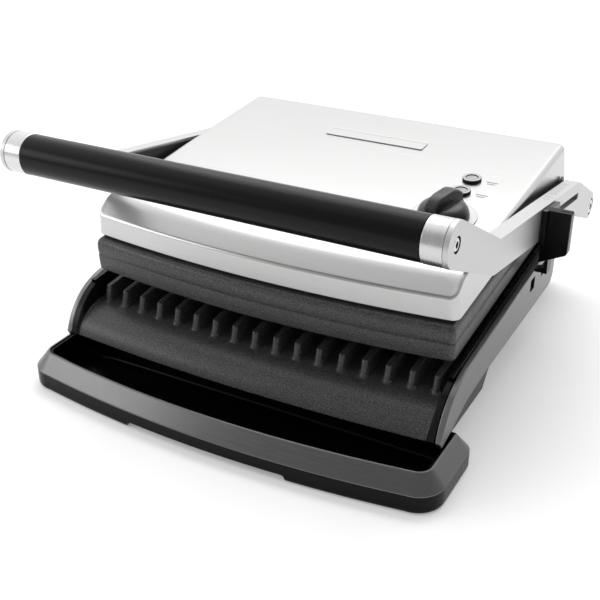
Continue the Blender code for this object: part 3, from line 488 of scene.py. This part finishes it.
def upper_plate():
    """Skirt with a crease, and the ribbed face below."""
    levels = [(0.0062, -0.0024), (0.0048, -0.0027), (0.0034, -0.0035), (0.0022, -0.0047),
              (0.0013, -0.0063), (0.0008, -0.0085), (0.0006, -0.0115), (0.0007, -0.0150),
              (0.0010, -0.0160), (0.0012, -0.0166), (0.0009, -0.0171), (0.0004, -0.0178),
              (0.0003, -0.0240), (0.0004, -0.0294), (0.0008, -0.0305), (0.0018, -0.0310),
              (0.0060, -0.0310), (0.0068, -0.0300), (0.0072, -0.0220), (0.0085, -0.0214)]
    rings = []
    for inset, n in levels:
        radius = max(0.0020, 0.0060 - inset)
        outline = plan(PLATE_HALF - inset, PLATE_FRONT + inset, PLATE_DEPTH - inset, PLATE_BOW,
                       radius, radius)
        rings.append(ring_at(outline, n))
    parts = [loft(rings, lean())]
    for x in map(rib_x, range(RIB_COUNT)):
        bow = PLATE_BOW * bow_at(x)
        rib = []
        for s, lift in ((0.0100 - bow, 0.0), (0.0136 - bow, 0.92), (0.0146 - bow, 1.0),
                        (0.2314, 1.0), (0.2324, 0.92), (0.2360, 0.0)):
            top = PLATE_FACE + (PLATE_LOW + 0.0004 - PLATE_FACE) * lift
            shoulder = PLATE_FACE + (top - PLATE_FACE) * 0.9
            flank = [(0.0040, PLATE_FACE), (0.0038 - 0.0011 * lift, shoulder),
                     (0.0038 - 0.0019 * lift, top)]
            rib.append([(x - a, s, n) for a, n in flank]
                       + [(x + a, s, n) for a, n in flank[::-1]])
        parts.append(loft(rib, lean()))
    return joined(parts)


def dial_parts():
    """Domed skirt with an arched finger grip across it, flared where the two meet."""
    dome = [(0.0, 0.0112), (0.0060, 0.0109), (0.0105, 0.0103), (0.0130, 0.0100),
            (0.0148, 0.0095), (0.0166, 0.0086), (0.0181, 0.0073), (0.0192, 0.0055),
            (0.0199, 0.0036), (0.0203, 0.0018), (0.0205, 0.0005), (0.0203, 0.0), (0.0, 0.0)]
    place = on_lid(DIAL, COVER_TOP + 0.0012)
    skirt = turned(dome, place, 128)
    turn = place @ Matrix.Rotation(DIAL_TURN, 4, "Z")
    rings = []
    for a, width, sink in ((-0.0194, 0.62, 0.0016), (-0.0193, 0.80, 0.0007),
                           (-0.0188, 0.93, 0.0002),
                           *[(k * 0.00115, 1.0, 0.0) for k in range(-16, 17)],
                           (0.0188, 0.93, 0.0002), (0.0193, 0.80, 0.0007),
                           (0.0194, 0.62, 0.0016)):
        top = 0.0197 - 0.0074 * (max(0.0, abs(a) - 0.004) / 0.016) ** 2.3 - sink
        foot = 0.55 * top
        flank = [(0.0104, 0.0006), (0.0092, 0.30 * foot), (0.0078, 0.60 * foot),
                 (0.0066, 0.85 * foot), (0.0060, foot), (0.0057, foot + 0.0015),
                 (0.0056, top - 0.0017), (0.0054, top - 0.0009), (0.0049, top - 0.0003),
                 (0.0040, top), (0.0020, top + 0.0001)]
        flank = [(b * width, n) for b, n in flank]
        rings.append([(a, b, n) for b, n in flank] + [(a, -b, n) for b, n in flank[::-1]])
    knob = boolean(skirt, loft(rings, turn), "UNION")
    mark = ((-0.0007, 0.0178), (0.0007, 0.0178), (0.0007, 0.0230), (-0.0007, 0.0230))
    return boolean(knob, prism(AXIS_X, mark, 0.0095, 0.0230, turn))


def on_top(profile):
    """Profile with its heights taken from the lid's top."""
    return [(radius, COVER_TOP + GAP + height) for radius, height in profile]


def dial_dish():
    profile = [(0.0266, 0.0), (0.0266, 0.0002), (0.0264, 0.0005), (0.0260, 0.0006),
               (0.0248, 0.0006), (0.0243, 0.0005), (0.0228, 0.0004), (0.0048, 0.0004),
               (0.0048, 0.0)]
    return turned(on_top(profile), on_lid(DIAL), 128, closed=True)


def lamp_ring(key):
    """Raised ring: pale face on top; its walls (material 1) are painted near-black as shade."""
    profile = [(0.0050, 0.0020), (0.0052, 0.0025), (0.0057, 0.0027), (0.0068, 0.0027),
               (0.0073, 0.0026), (0.0077, 0.0022), (0.0079, 0.0017), (0.0079, 0.0),
               (0.0059, 0.0), (0.0059, -0.006), (0.0050, -0.006)]
    mesh = turned(on_top(profile), on_lid(LAMPS[key]), 64, closed=True)
    up = Vector((0.0, -sin(TILT), cos(TILT)))
    for face in mesh.polygons:
        # painted shade: faces steeper than 60 degrees take the near-black shade material
        face.material_index = 1 if face.normal.dot(up) < 0.50 else 0
    return mesh


def lamp_lens(key):
    """Dished lens."""
    profile = [(0.0, 0.0006), (0.0012, 0.00065), (0.0024, 0.0009), (0.0036, 0.0013),
               (0.0044, 0.0017), (0.0047, 0.0018), (0.0047, -0.010), (0.0, -0.010)]
    return turned(on_top(profile), on_lid(LAMPS[key]), 64)


def badge():
    """Blank plaque: a thin raised frame round a sunk field."""
    levels = [(0.0, 0.0), (0.0, 0.0004), (0.0002, 0.0006), (0.0008, 0.0006), (0.0010, 0.00045),
              (0.0012, 0.0002)]
    rings = []
    for inset, n in on_top(levels):
        radius = 0.0018 - inset
        outline = plan(0.0480 - inset, 0.2000 + inset, 0.2155 - inset, 0.0, radius, radius, 6, 6)
        rings.append(ring_at(outline, n))
    return loft(rings, lean())


# ---- base ----
def rib_columns():
    """Columns across the bed: x, shares of the rib's and the flange's height, nose's set-back."""
    edge = [(-BED_HALF, 1.0), (-BED_HALF + 0.0006, 1.02), (-0.1606, 1.02), (-0.1602, 1.0),
            (-0.1598, 0.96), (-0.1582, 0.05), (-0.1574, 0.0)]
    half = [(0.0048, 0.0, 0.0), (0.0042, 0.02, 0.0016), (0.0038, 0.10, 0.0026),
            (0.0034, 0.30, 0.0026), (0.0027, 0.88, 0.0022), (0.0025, 0.96, 0.0017),
            (0.0021, 1.0, 0.0011), (0.0011, 1.0, 0.0003)]
    cols = [(x, 0.0, flange, 0.0) for x, flange in edge]
    for x in map(rib_x, range(RIB_COUNT)):
        cols += [(x - a, share, 0.0, set_back) for a, share, set_back in half]
        cols += [(x, 1.0, 0.0, 0.0)]
        cols += [(x + a, share, 0.0, set_back) for a, share, set_back in half[::-1]]
    cols += [(-x, 0.0, flange, 0.0) for x, flange in edge[::-1]]
    return cols


def bed_rows():
    """Rows down the bed: s at the sides, shares of the rib height, front bow and bed depth."""
    rear = [(0.0, 0.0, 0.0), (0.0045, 0.0, 0.0), (0.0052, 0.0, 0.1), (0.0075, 0.0, 1.0),
            (0.0140, 0.0, 1.0), (0.0144, 0.1, 1.0), (0.0177, 0.92, 1.0), (0.0185, 1.0, 1.0)]
    rows = [(BED_REAR - inset, rib, 0.0, sunk) for inset, rib, sunk in rear]
    return rows + [(0.100, 1.0, 0.3, 1.0), (0.010, 1.0, 0.9, 1.0), (-0.0084, 1.0, 1.0, 1.0),
                   (-0.0092, 0.98, 1.0, 1.0), (-0.0098, 0.90, 1.0, 1.0),
                   (-0.0131, 0.20, 1.0, 1.0), (-0.0136, 0.08, 1.0, 1.0),
                   (-0.0146, 0.0, 1.0, 1.0)]


def nose(t):
    """Side profile (y, z) of the flange's and band's nose, t from 0 at the top line to 1."""
    start = (NOSE_START, bed_line(NOSE_START, FLANGE_TOP))
    return tuple(start[i] * (1 - t) ** 2 + NOSE_BEND[i] * 2 * t * (1 - t) + NOSE_TIP[i] * t ** 2
                 for i in (0, 1))


def apron_point(x, t):
    """Point of the apron that falls in front of the ribs, t from 0 at the bed to 1 at its edge."""
    bow = bow_at(x)
    start = leaned(x, -0.0146 - RIB_BOW * bow, RIB_FOOT)
    reach = (APRON_TIP - APRON_TIP_BOW * bow) - start.y
    drop = start.z - APRON_LOW
    a = t * APRON_TURN
    return Vector((x, start.y + reach * sin(a) / sin(APRON_TURN),
                   start.z - drop * (1 - cos(a)) / (1 - cos(APRON_TURN))))


def lower_plate():
    """Ribbed bed between two flanges, with the apron; material 1 is the smooth flange."""
    cols = rib_columns()
    upper, under, steps = [], [], 20
    for s, rib, bowed, sunk in bed_rows():
        line, low = [], []
        for x, share, flange, set_back in cols:
            bend = RIB_BOW * bow_at(x) * bowed
            bend -= set_back if s < 0.0 and rib > 0.0 else 0.0
            level = FLANGE_TOP + (RIB_FOOT - FLANGE_TOP) * sunk * (1 - min(flange, 1.0))
            level += (RIB_TOP - RIB_FOOT) * min(share, rib) if flange <= 0.0 else 0.0
            line.append(leaned(x, s - bend, level - (0.0004 if flange == 1.0 else 0.0)))
            low.append(leaned(x, s - bend, BED_UNDER))
        upper.append(line)
        under.append(low)
    for k in range(1, steps + 1):
        t = k / steps
        y, z = nose(t)
        line, low = [], []
        for x, _, flange, _ in cols:
            p = apron_point(x, t)
            low.append(p + Vector((0.0, 0.0018 * t + 0.0010, -0.0035 + 0.0017 * t)))
            line.append(p.lerp(Vector((x, y, z)), min(flange, 1.0)))
        upper.append(line)
        under.append(low)
    bm = bmesh.new()
    top = [[bm.verts.new(p) for p in line] for line in upper]
    low = [[bm.verts.new(p) for p in line] for line in under]
    rows, count = len(top), len(cols)
    for grid, flip in ((top, False), (low, True)):
        for i in range(rows - 1):
            for j in range(count - 1):
                quad = (grid[i][j], grid[i + 1][j], grid[i + 1][j + 1], grid[i][j + 1])
                face = bm.faces.new(quad[::-1] if flip else quad)
                on_flange = cols[j][2] > 0.0 and cols[j + 1][2] > 0.0
                face.material_index = 1 if on_flange else 0
    for i in range(rows - 1):
        for j in (0, count - 1):
            wall = bm.faces.new((top[i][j], top[i + 1][j], low[i + 1][j], low[i][j]))
            wall.material_index = 1
    for j in range(count - 1):
        for i in (0, rows - 1):
            bm.faces.new((top[i][j], top[i][j + 1], low[i][j + 1], low[i][j]))
    return mesh_of(bm)


def band_outline():
    body = [(BAND_REAR, bed_line(BAND_REAR, FLANGE_TOP), 0.010)]
    body += [(*nose(k / NOSE_STEPS), 0.0) for k in range(NOSE_STEPS + 1)]
    body += [(-0.1665, 0.0300, 0.0), (-0.1500, 0.0340, 0.0), (-0.1200, 0.0430, 0.010),
             (-0.0800, BAND_LOW, 0.0), (BAND_REAR, BAND_LOW, 0.014)]
    return rounded(body, 8)


def side_band(side):
    """Band along one side; material 1, the inside of the right band's notches, is painted
    near-black as shade.
    """
    outline = prism(AXIS_X, band_outline(), side * BAND_IN, side * BAND_OUT)
    mesh = bevelled(outline, 0.0010, 3, 50.0)
    notches = [(y, bed_line(y, FLANGE_TOP) - NOTCH_DROP) for y in NOTCHES] if side > 0 else []
    for y, top in notches:
        hole = rounded([(y - NOTCH_HALF, top - NOTCH_TALL, 0.001),
                        (y + NOTCH_HALF, top - NOTCH_TALL, 0.001),
                        (y + NOTCH_HALF, top, 0.001), (y - NOTCH_HALF, top, 0.001)], 4)
        mesh = boolean(mesh, prism(AXIS_X, hole, BAND_IN + 0.0018, BAND_OUT + 0.004))
    reach = NOTCH_HALF + 0.0004
    for face in mesh.polygons:
        sunk = BAND_IN + 0.001 < abs(face.center.x) < BAND_OUT - 0.0004
        inside = any(abs(face.center.y - y) < reach
                     and abs(face.center.z - top + NOTCH_HALF) < reach for y, top in notches)
        # painted shade: near-black on the notch insides
        face.material_index = 1 if sunk and inside else 0
    return mesh


# ---- drip tray ----
def tray_ring(inset, z):
    r_front, r_rear = max(0.022 - inset, 0.0015), max(0.012 - inset, 0.0015)
    outline = plan(TRAY_HALF - inset, TRAY_CORNER + inset, TRAY_REAR - inset, TRAY_BOW,
                   r_front, r_rear, 14, 64)
    return ring_at(outline, z)


def tray_basin():
    """Hollow tray with a finger recess under its front, a ridge in its floor and two rails."""
    low, top = TRAY_BOTTOM, TRAY_WALL_TOP - GAP
    levels = [(0.0030, low), (0.0018, low + 0.0002), (0.0006, low + 0.0010),
              (0.0001, low + 0.0022), (0.0, low + 0.004), (0.0, top), (0.0034, top),
              (0.0124, 0.0262), (0.0124, 0.0274), (0.0127, 0.0278), (0.0139, 0.0278),
              (0.0143, 0.0274), (0.0150, 0.0120), (0.0154, 0.0070), (0.0162, 0.0045),
              (0.0178, 0.0033), (0.0200, 0.0030)]
    mesh = loft([tray_ring(inset, z) for inset, z in levels])
    recess = rounded([(-0.0740, -0.004, 0.0), (0.0740, -0.004, 0.0), (0.0700, 0.0056, 0.003),
                      (-0.0700, 0.0056, 0.003)], 8)
    mesh = boolean(mesh, prism(AXIS_Y, recess, -0.240, TRAY_CORNER))
    ridge = rounded([(-0.2010, 0.0026, 0.0), (-0.1900, 0.0026, 0.0), (-0.1955, 0.0062, 0.004)], 8)
    mesh = boolean(mesh, prism(AXIS_X, ridge, -0.135, 0.135), "UNION")
    for side, _ in SIDES:
        a, b = side * RAIL_X - RAIL_HALF, side * RAIL_X + RAIL_HALF
        rail = rounded([(a, 0.0025, 0.0005), (b, 0.0025, 0.0005), (b, 0.0080, 0.0010),
                        (a, 0.0080, 0.0010)], 4)
        mesh = boolean(mesh, prism(AXIS_Y, rail, TRAY_REAR - 0.004, RAIL_END), "UNION")
    return mesh


def tray_bezel():
    levels = [(0.0, TRAY_WALL_TOP), (0.0, 0.0158), (0.0003, 0.0163), (0.0098, 0.0281),
              (0.0102, 0.0286), (0.0107, 0.0289), (0.0112, 0.0290), (0.0117, 0.0290),
              (0.0120, 0.0288), (0.0121, 0.0283), (0.0121, 0.0270), (0.0030, TRAY_WALL_TOP)]
    return loft([tray_ring(inset, z) for inset, z in levels], closed=True)


# ---- arms and grip ----
def arm_outline():
    """Side outline: the bar, its foot round the pivot, and the cradle under the grip."""
    body = rounded([
        (*ARM_FRONT, 0.008), (0.1190, arm_line(0.1190, 0.0), 0.030), (0.1830, 0.1020, 0.010),
        (0.1880, 0.0880, 0.008), (0.1745, 0.0785, 0.010),
        (0.1130, arm_line(0.1130, 0.0302), 0.020), (-0.1090, 0.1442, 0.012),
        (-0.1955, 0.1865, 0.0)], 12)[:-1]
    radius = GRIP_R + 0.0003
    for k in range(25):
        a = radians(243.5) - radians(180.0) * k / 24
        body.append((GRIP_AXIS[0] + radius * cos(a), GRIP_AXIS[1] + radius * sin(a)))
    return body


def arm(side):
    """Arm with its slot on the right; material 1, the inside of the screw recesses, is painted
    near-black as shade.
    """
    outline = prism(AXIS_X, arm_outline(), side * ARM_IN, side * ARM_OUT)
    mesh = bevelled(outline, 0.0022, 5, 50.0)
    socket = rod_x(side * CUT_IN, side * SOCKET_END, GRIP_AXIS, GRIP_R + 0.0012, 96)
    mesh = boolean(mesh, socket)
    recesses = ((GRIP_AXIS, *GRIP_RECESS), (PIVOT, *PIVOT_RECESS))
    for centre, radius, deep in recesses:
        mesh = boolean(mesh, rod_x(side * (ARM_OUT - deep), side * CUT_OUT, centre, radius))
    if side > 0:
        slot = rounded([(SLOT_FRONT, arm_line(SLOT_FRONT, SLOT_DROP), 0.0025),
                        (SLOT_REAR, arm_line(SLOT_REAR, SLOT_DROP), 0.0025),
                        (SLOT_REAR, arm_line(SLOT_REAR, SLOT_LOW), 0.0025),
                        (SLOT_FRONT, arm_line(SLOT_FRONT, SLOT_LOW), 0.0025)], 6)
        mesh = boolean(mesh, prism(AXIS_X, slot, CUT_IN, CUT_OUT))
    for face in mesh.polygons:
        near = min(hypot(face.center.y - y, face.center.z - z) - radius - 0.0002
                   for (y, z), radius, _ in recesses)
        sunk = abs(face.center.x) < ARM_OUT - 0.0001
        # painted shade: near-black on the recess insides
        face.material_index = 1 if near < 0.0 and sunk else 0
    return mesh


def collar(side):
    start, end = GRIP_HALF + GAP, COLLAR_END
    radius = GRIP_R + 0.0002
    profile = [(0.0053, end), (0.0152, end), (radius - 0.0001, end - 0.0001),
               (radius, end - 0.0003), (radius, start + 0.0005),
               (radius - 0.0002, start + 0.0001), (radius - 0.0005, start), (0.0122, start),
               (0.0122, start - 0.012), (0.0053, start - 0.012)]
    return turned(profile, along_x(GRIP_AXIS, side), 128, closed=True)


def handle():
    half = GRIP_HALF
    profile = [(0.0125, half), (GRIP_R - 0.0006, half), (GRIP_R - 0.0002, half - 0.0002),
               (GRIP_R, half - 0.0007), (GRIP_R, -half + 0.0007),
               (GRIP_R - 0.0002, -half + 0.0002), (GRIP_R - 0.0006, -half), (0.0125, -half)]
    return turned(profile, along_x(GRIP_AXIS), 128, closed=True)


def socket_screw(side, centre, head, radius, shank, reach, key):
    """Domed head with a hexagon socket, on a plain shank."""
    place, seat = along_x(centre, side), ARM_OUT - 0.0013
    profile = [(0.0, head), (radius * 0.80, head), (radius * 0.93, head - 0.0002),
               (radius, head - 0.0007), (radius, seat), (shank, seat), (shank, reach),
               (0.0, reach)]
    hexagon = [(key * cos(pi * k / 3 + 0.3), key * sin(pi * k / 3 + 0.3)) for k in range(6)]
    return boolean(turned(profile, place, 64),
                   prism(AXIS_Z, hexagon, head - 0.0022, head + 0.002, place))


def slider():
    """Height lock: plate on the arm with a finger tab, and a foot that reaches the notches."""
    out, inner = ARM_OUT + GAP, BAND_OUT + 0.0008
    front, rear = 0.0000, 0.0395
    face = rounded([(front, arm_line(front, 0.0300), 0.0010),
                    (rear, arm_line(rear, 0.0300), 0.0010),
                    (rear, arm_line(rear, 0.0011), 0.0012),
                    (front, arm_line(front, 0.0011), 0.0012)], 5)
    mesh = bevelled(prism(AXIS_X, face, out, out + 0.0041), 0.0005, 3, 50.0)
    tab = rounded([(out, 0.1050, 0.0), (0.2003, 0.1160, 0.0035), (0.2003, 0.1510, 0.0022),
                   (out, 0.1510, 0.0)], 8)
    tab = bevelled(prism(AXIS_Y, tab, 0.0055, 0.0145), 0.0007, 3, 50.0)
    mesh = boolean(mesh, tab, "UNION")
    foot_top, foot_low = arm_line(0.030, 0.0310), bed_line(0.030, FLANGE_TOP) + 0.0008
    foot = [(0.0240, foot_top + 0.006), (0.0390, foot_top + 0.006), (0.0360, foot_low),
            (0.0270, foot_low)]
    mesh = boolean(mesh, prism(AXIS_X, foot, out, out + 0.0030), "UNION")
    toe = [(out + 0.0030, foot_low), (out + 0.0030, foot_low + 0.006),
           (inner, foot_low + 0.0025), (inner, foot_low)]
    mesh = boolean(mesh, prism(AXIS_Y, toe, 0.0275, 0.0355), "UNION")
    mark = ((0.1905, 0.0092), (0.1975, 0.0092), (0.1975, 0.0102), (0.1905, 0.0102))
    mesh = boolean(mesh, prism(AXIS_Z, mark, 0.1504, 0.1530))
    tongue = [(0.012, arm_line(0.012, 0.0103)), (0.038, arm_line(0.038, 0.0103)),
              (0.038, arm_line(0.038, 0.0157)), (0.012, arm_line(0.012, 0.0157))]
    return joined([mesh, prism(AXIS_X, tongue, 0.1645, out + 0.001)])


def bar(x, y, z, size):
    """Small flat mark centred on (x, y, z)."""
    bm = bmesh.new()
    place = Matrix.Translation((x, y, z)) @ Matrix.Diagonal((*size, 1.0))
    bmesh.ops.create_cube(bm, size=1.0, matrix=place)
    return mesh_of(bm)


def arm_marks():
    """Plain scale on the right arm's top: ticks, two longer end ticks and two pairs of dots."""
    rows = [(0.1720, 0.0560 + 0.0070 * k, 0.0030 if k in (0, 6) else 0.0013) for k in range(7)]
    rows += [(x, y, reach) for y in (0.0440, 0.0350)
             for x, reach in ((0.1700, 0.0018), (0.1735, 0.0010))]
    return joined([bar(x, y, arm_line(y, 0.0), (2 * reach, 0.0007, 0.00008))
                   for x, y, reach in rows])


def lid_marks():
    """Two plain dashes beside each lamp."""
    marks = []
    for x, s in LAMPS.values():
        for k in range(2):
            mark = bar(x + 0.0170, s + 0.0016 - 0.0032 * k, COVER_TOP + 0.00006,
                       (0.0100 - 0.0035 * k, 0.0008, 0.00012))
            mark.transform(lean())
            marks.append(mark)
    return joined(marks)


# ---- assembly ----
GRIP_SCREW = (GRIP_AXIS, ARM_OUT - 0.0002, 0.0046, 0.0025, 0.1540, 0.0026)
PIVOT_BOLT = (PIVOT, ARM_OUT + 0.0002, 0.0066, 0.0050, 0.1475, 0.0036)

piece("cover_skin", cover(), "lid", STEEL, "lid_cover", 50.0)
piece("upper_plate_fine", upper_plate(), "lid", CAST, "upper_plate")
piece("dial_fine", dial_parts(), "dial", DIAL_BLACK, "dial_knob")
piece("dial_dish", dial_dish(), "lid", DISH, "dial_bezel", 60.0)
for key in LAMPS:
    piece("lamp_ring_fine_" + key, lamp_ring(key), "lid", [RING, RECESS_SHADE],
          "lamp_ring_" + key, 60.0)
    piece("lamp_lens_fine_" + key, lamp_lens(key), "lid", LENS,
          "lamp_lens_" + key, 60.0)
piece("badge_fine", badge(), "lid", STEEL, "badge_plate")
piece("lower_plate_fine", lower_plate(), "base", [CAST, CAST_SMOOTH],
      "lower_plate", 55.0)
piece("tray_basin_fine", tray_basin(), "tray", TRAY, "tray_basin", 50.0)
piece("tray_bezel_fine", tray_bezel(), "tray", GUNMETAL, "tray_bezel", 50.0)
piece("grip_fine", handle(), "arms", GRIP, "grip", 50.0)
for side, word in SIDES:
    piece("side_band_fine_" + word, side_band(side), "base",
          [SIDE_STEEL, RECESS_SHADE], "side_band_" + word)
    piece("arm_fine_" + word, arm(side), "arms", [ARM, RECESS_SHADE], "arm_" + word)
    piece("collar_" + word, collar(side), "arms", COLLAR,
          "grip_collar_" + word, 50.0)
    piece("grip_screw_fine_" + word, socket_screw(side, *GRIP_SCREW), "arms",
          BRIGHT, "grip_screw_" + word)
    piece("pivot_bolt_fine_" + word, socket_screw(side, *PIVOT_BOLT), "base",
          BRIGHT, "pivot_bolt_" + word)
    refined("arm_liner_" + word, "arms", BLACK, 0.0004)
    refined("hinge_bracket_" + word, "base", BLACK, 0.0008)
    refined("foot_front_" + word, "base", RUBBER, 0.0003)
    refined("foot_rear_" + word, "base", RUBBER, 0.0003)
    frame["nodes"]["lid_hinge_" + word].data.materials[0] = DARK_STEEL
piece("arm_marks", arm_marks(), "arms", PRINT)
piece("lid_marks", lid_marks(), "lid", PRINT)
piece("slider_fine", slider(), "height_lock", GLOSS, "height_slider")
refined("base_housing", "base", GREY_PLASTIC, 0.0008, 3)
refined("cord_inlet", "base", BLACK, 0.0004)
refined("lid_frame", "lid", BLACK, 0.0004)
for node, mat in (("lower_element", SHEATH), ("upper_element", SHEATH),
                  ("lower_reflector", SHEET), ("thermostat", SHEET), ("grip_rod", SHEET)):
    frame["nodes"][node].data.materials[0] = mat

# ---- studio ----
WHITE = (1.0, 1.0, 1.0, 1.0)
FLOOR_RADIUS, FLOOR_GREY, FLOOR_GLOW = 14.0, 0.86, 0.22
BRIGHT_SIDE = Vector((-0.46, 0.74, 0.50))  # towards the brightest part of the surround
SKY_BAND, SKY_STRENGTH = (-0.05, 0.65), (0.45, 1.25)
# name, place, target, size, power
LIGHTS = (("overhead", (-0.25, 0.75, 1.3), (0.0, 0.0, 0.1), (1.6, 1.0), 9.0),
          ("left", (-1.1, -0.8, 0.6), (-0.1, -0.3, 0.0), (0.9, 0.5), 3.8))
AZIMUTH, ELEVATION, ROLL = radians(29.1), radians(28.2), radians(-0.3)
CAMERA_AT, SENSOR, FOCAL = Vector((0.3603, -0.7139, 0.4568)), 36.0, 59.68


def floor():
    mat = bpy.data.materials.new("floor_pale")
    mat.use_nodes = True
    shader = mat.node_tree.nodes["Principled BSDF"]
    shader.inputs["Base Color"].default_value = (FLOOR_GREY, FLOOR_GREY, FLOOR_GREY, 1.0)
    shader.inputs["Roughness"].default_value = 0.9
    shader.inputs["Specular IOR Level"].default_value = 0.1
    shader.inputs["Emission Color"].default_value = WHITE
    shader.inputs["Emission Strength"].default_value = FLOOR_GLOW
    ring = [(FLOOR_RADIUS * cos(2 * pi * k / 64), FLOOR_RADIUS * sin(2 * pi * k / 64), 0.0)
            for k in range(64)]
    bm = bmesh.new()
    bm.faces.new([bm.verts.new(p) for p in ring])
    mesh = bpy.data.meshes.new("floor")
    bm.to_mesh(mesh)
    bm.free()
    mesh.materials.append(mat)
    ob = bpy.data.objects.new("floor", mesh)
    bpy.context.scene.collection.objects.link(ob)


def world():
    """Soft surround: bright behind, above and to the left, dim at the front right."""
    sky = bpy.data.worlds.new("studio")
    bpy.context.scene.world = sky
    sky.use_nodes = True
    nodes, links = sky.node_tree.nodes, sky.node_tree.links
    where = nodes.new("ShaderNodeTexCoord")
    dot = nodes.new("ShaderNodeVectorMath")
    dot.operation = "DOT_PRODUCT"
    dot.inputs[1].default_value = BRIGHT_SIDE.normalized()
    links.new(where.outputs["Generated"], dot.inputs[0])
    ramp = nodes.new("ShaderNodeMapRange")
    ramp.interpolation_type = "SMOOTHSTEP"
    ramp.inputs["From Min"].default_value, ramp.inputs["From Max"].default_value = SKY_BAND
    ramp.inputs["To Min"].default_value, ramp.inputs["To Max"].default_value = SKY_STRENGTH
    links.new(dot.outputs["Value"], ramp.inputs["Value"])
    links.new(ramp.outputs["Result"], nodes["Background"].inputs["Strength"])
    nodes["Background"].inputs["Color"].default_value = WHITE


def area(name, at, aim, size, power):
    lamp = bpy.data.lights.new(name, "AREA")
    lamp.shape, lamp.energy = "RECTANGLE", power
    lamp.size, lamp.size_y = size
    ob = bpy.data.objects.new(name, lamp)
    bpy.context.scene.collection.objects.link(ob)
    ob.location = at
    ob.rotation_euler = (Vector(aim) - Vector(at)).to_track_quat("-Z", "Y").to_euler()


def camera():
    back = Vector((sin(AZIMUTH) * cos(ELEVATION), -cos(AZIMUTH) * cos(ELEVATION),
                   sin(ELEVATION)))
    right = (-back).cross(Vector((0.0, 0.0, 1.0))).normalized()
    up = right.cross(-back)
    across = right * cos(ROLL) + up * sin(ROLL)
    upward = up * cos(ROLL) - right * sin(ROLL)
    lens = bpy.data.cameras.new("camera")
    lens.sensor_width, lens.lens = SENSOR, FOCAL
    ob = bpy.data.objects.new("camera", lens)
    bpy.context.scene.collection.objects.link(ob)
    turn = Matrix((across, upward, back)).transposed().to_4x4()
    ob.matrix_world = Matrix.Translation(CAMERA_AT + TO_CENTRE) @ turn
    bpy.context.scene.camera = ob


floor()
world()
for light in LIGHTS:
    area(*light)
camera()
bpy.context.scene.view_settings.view_transform = "Standard"
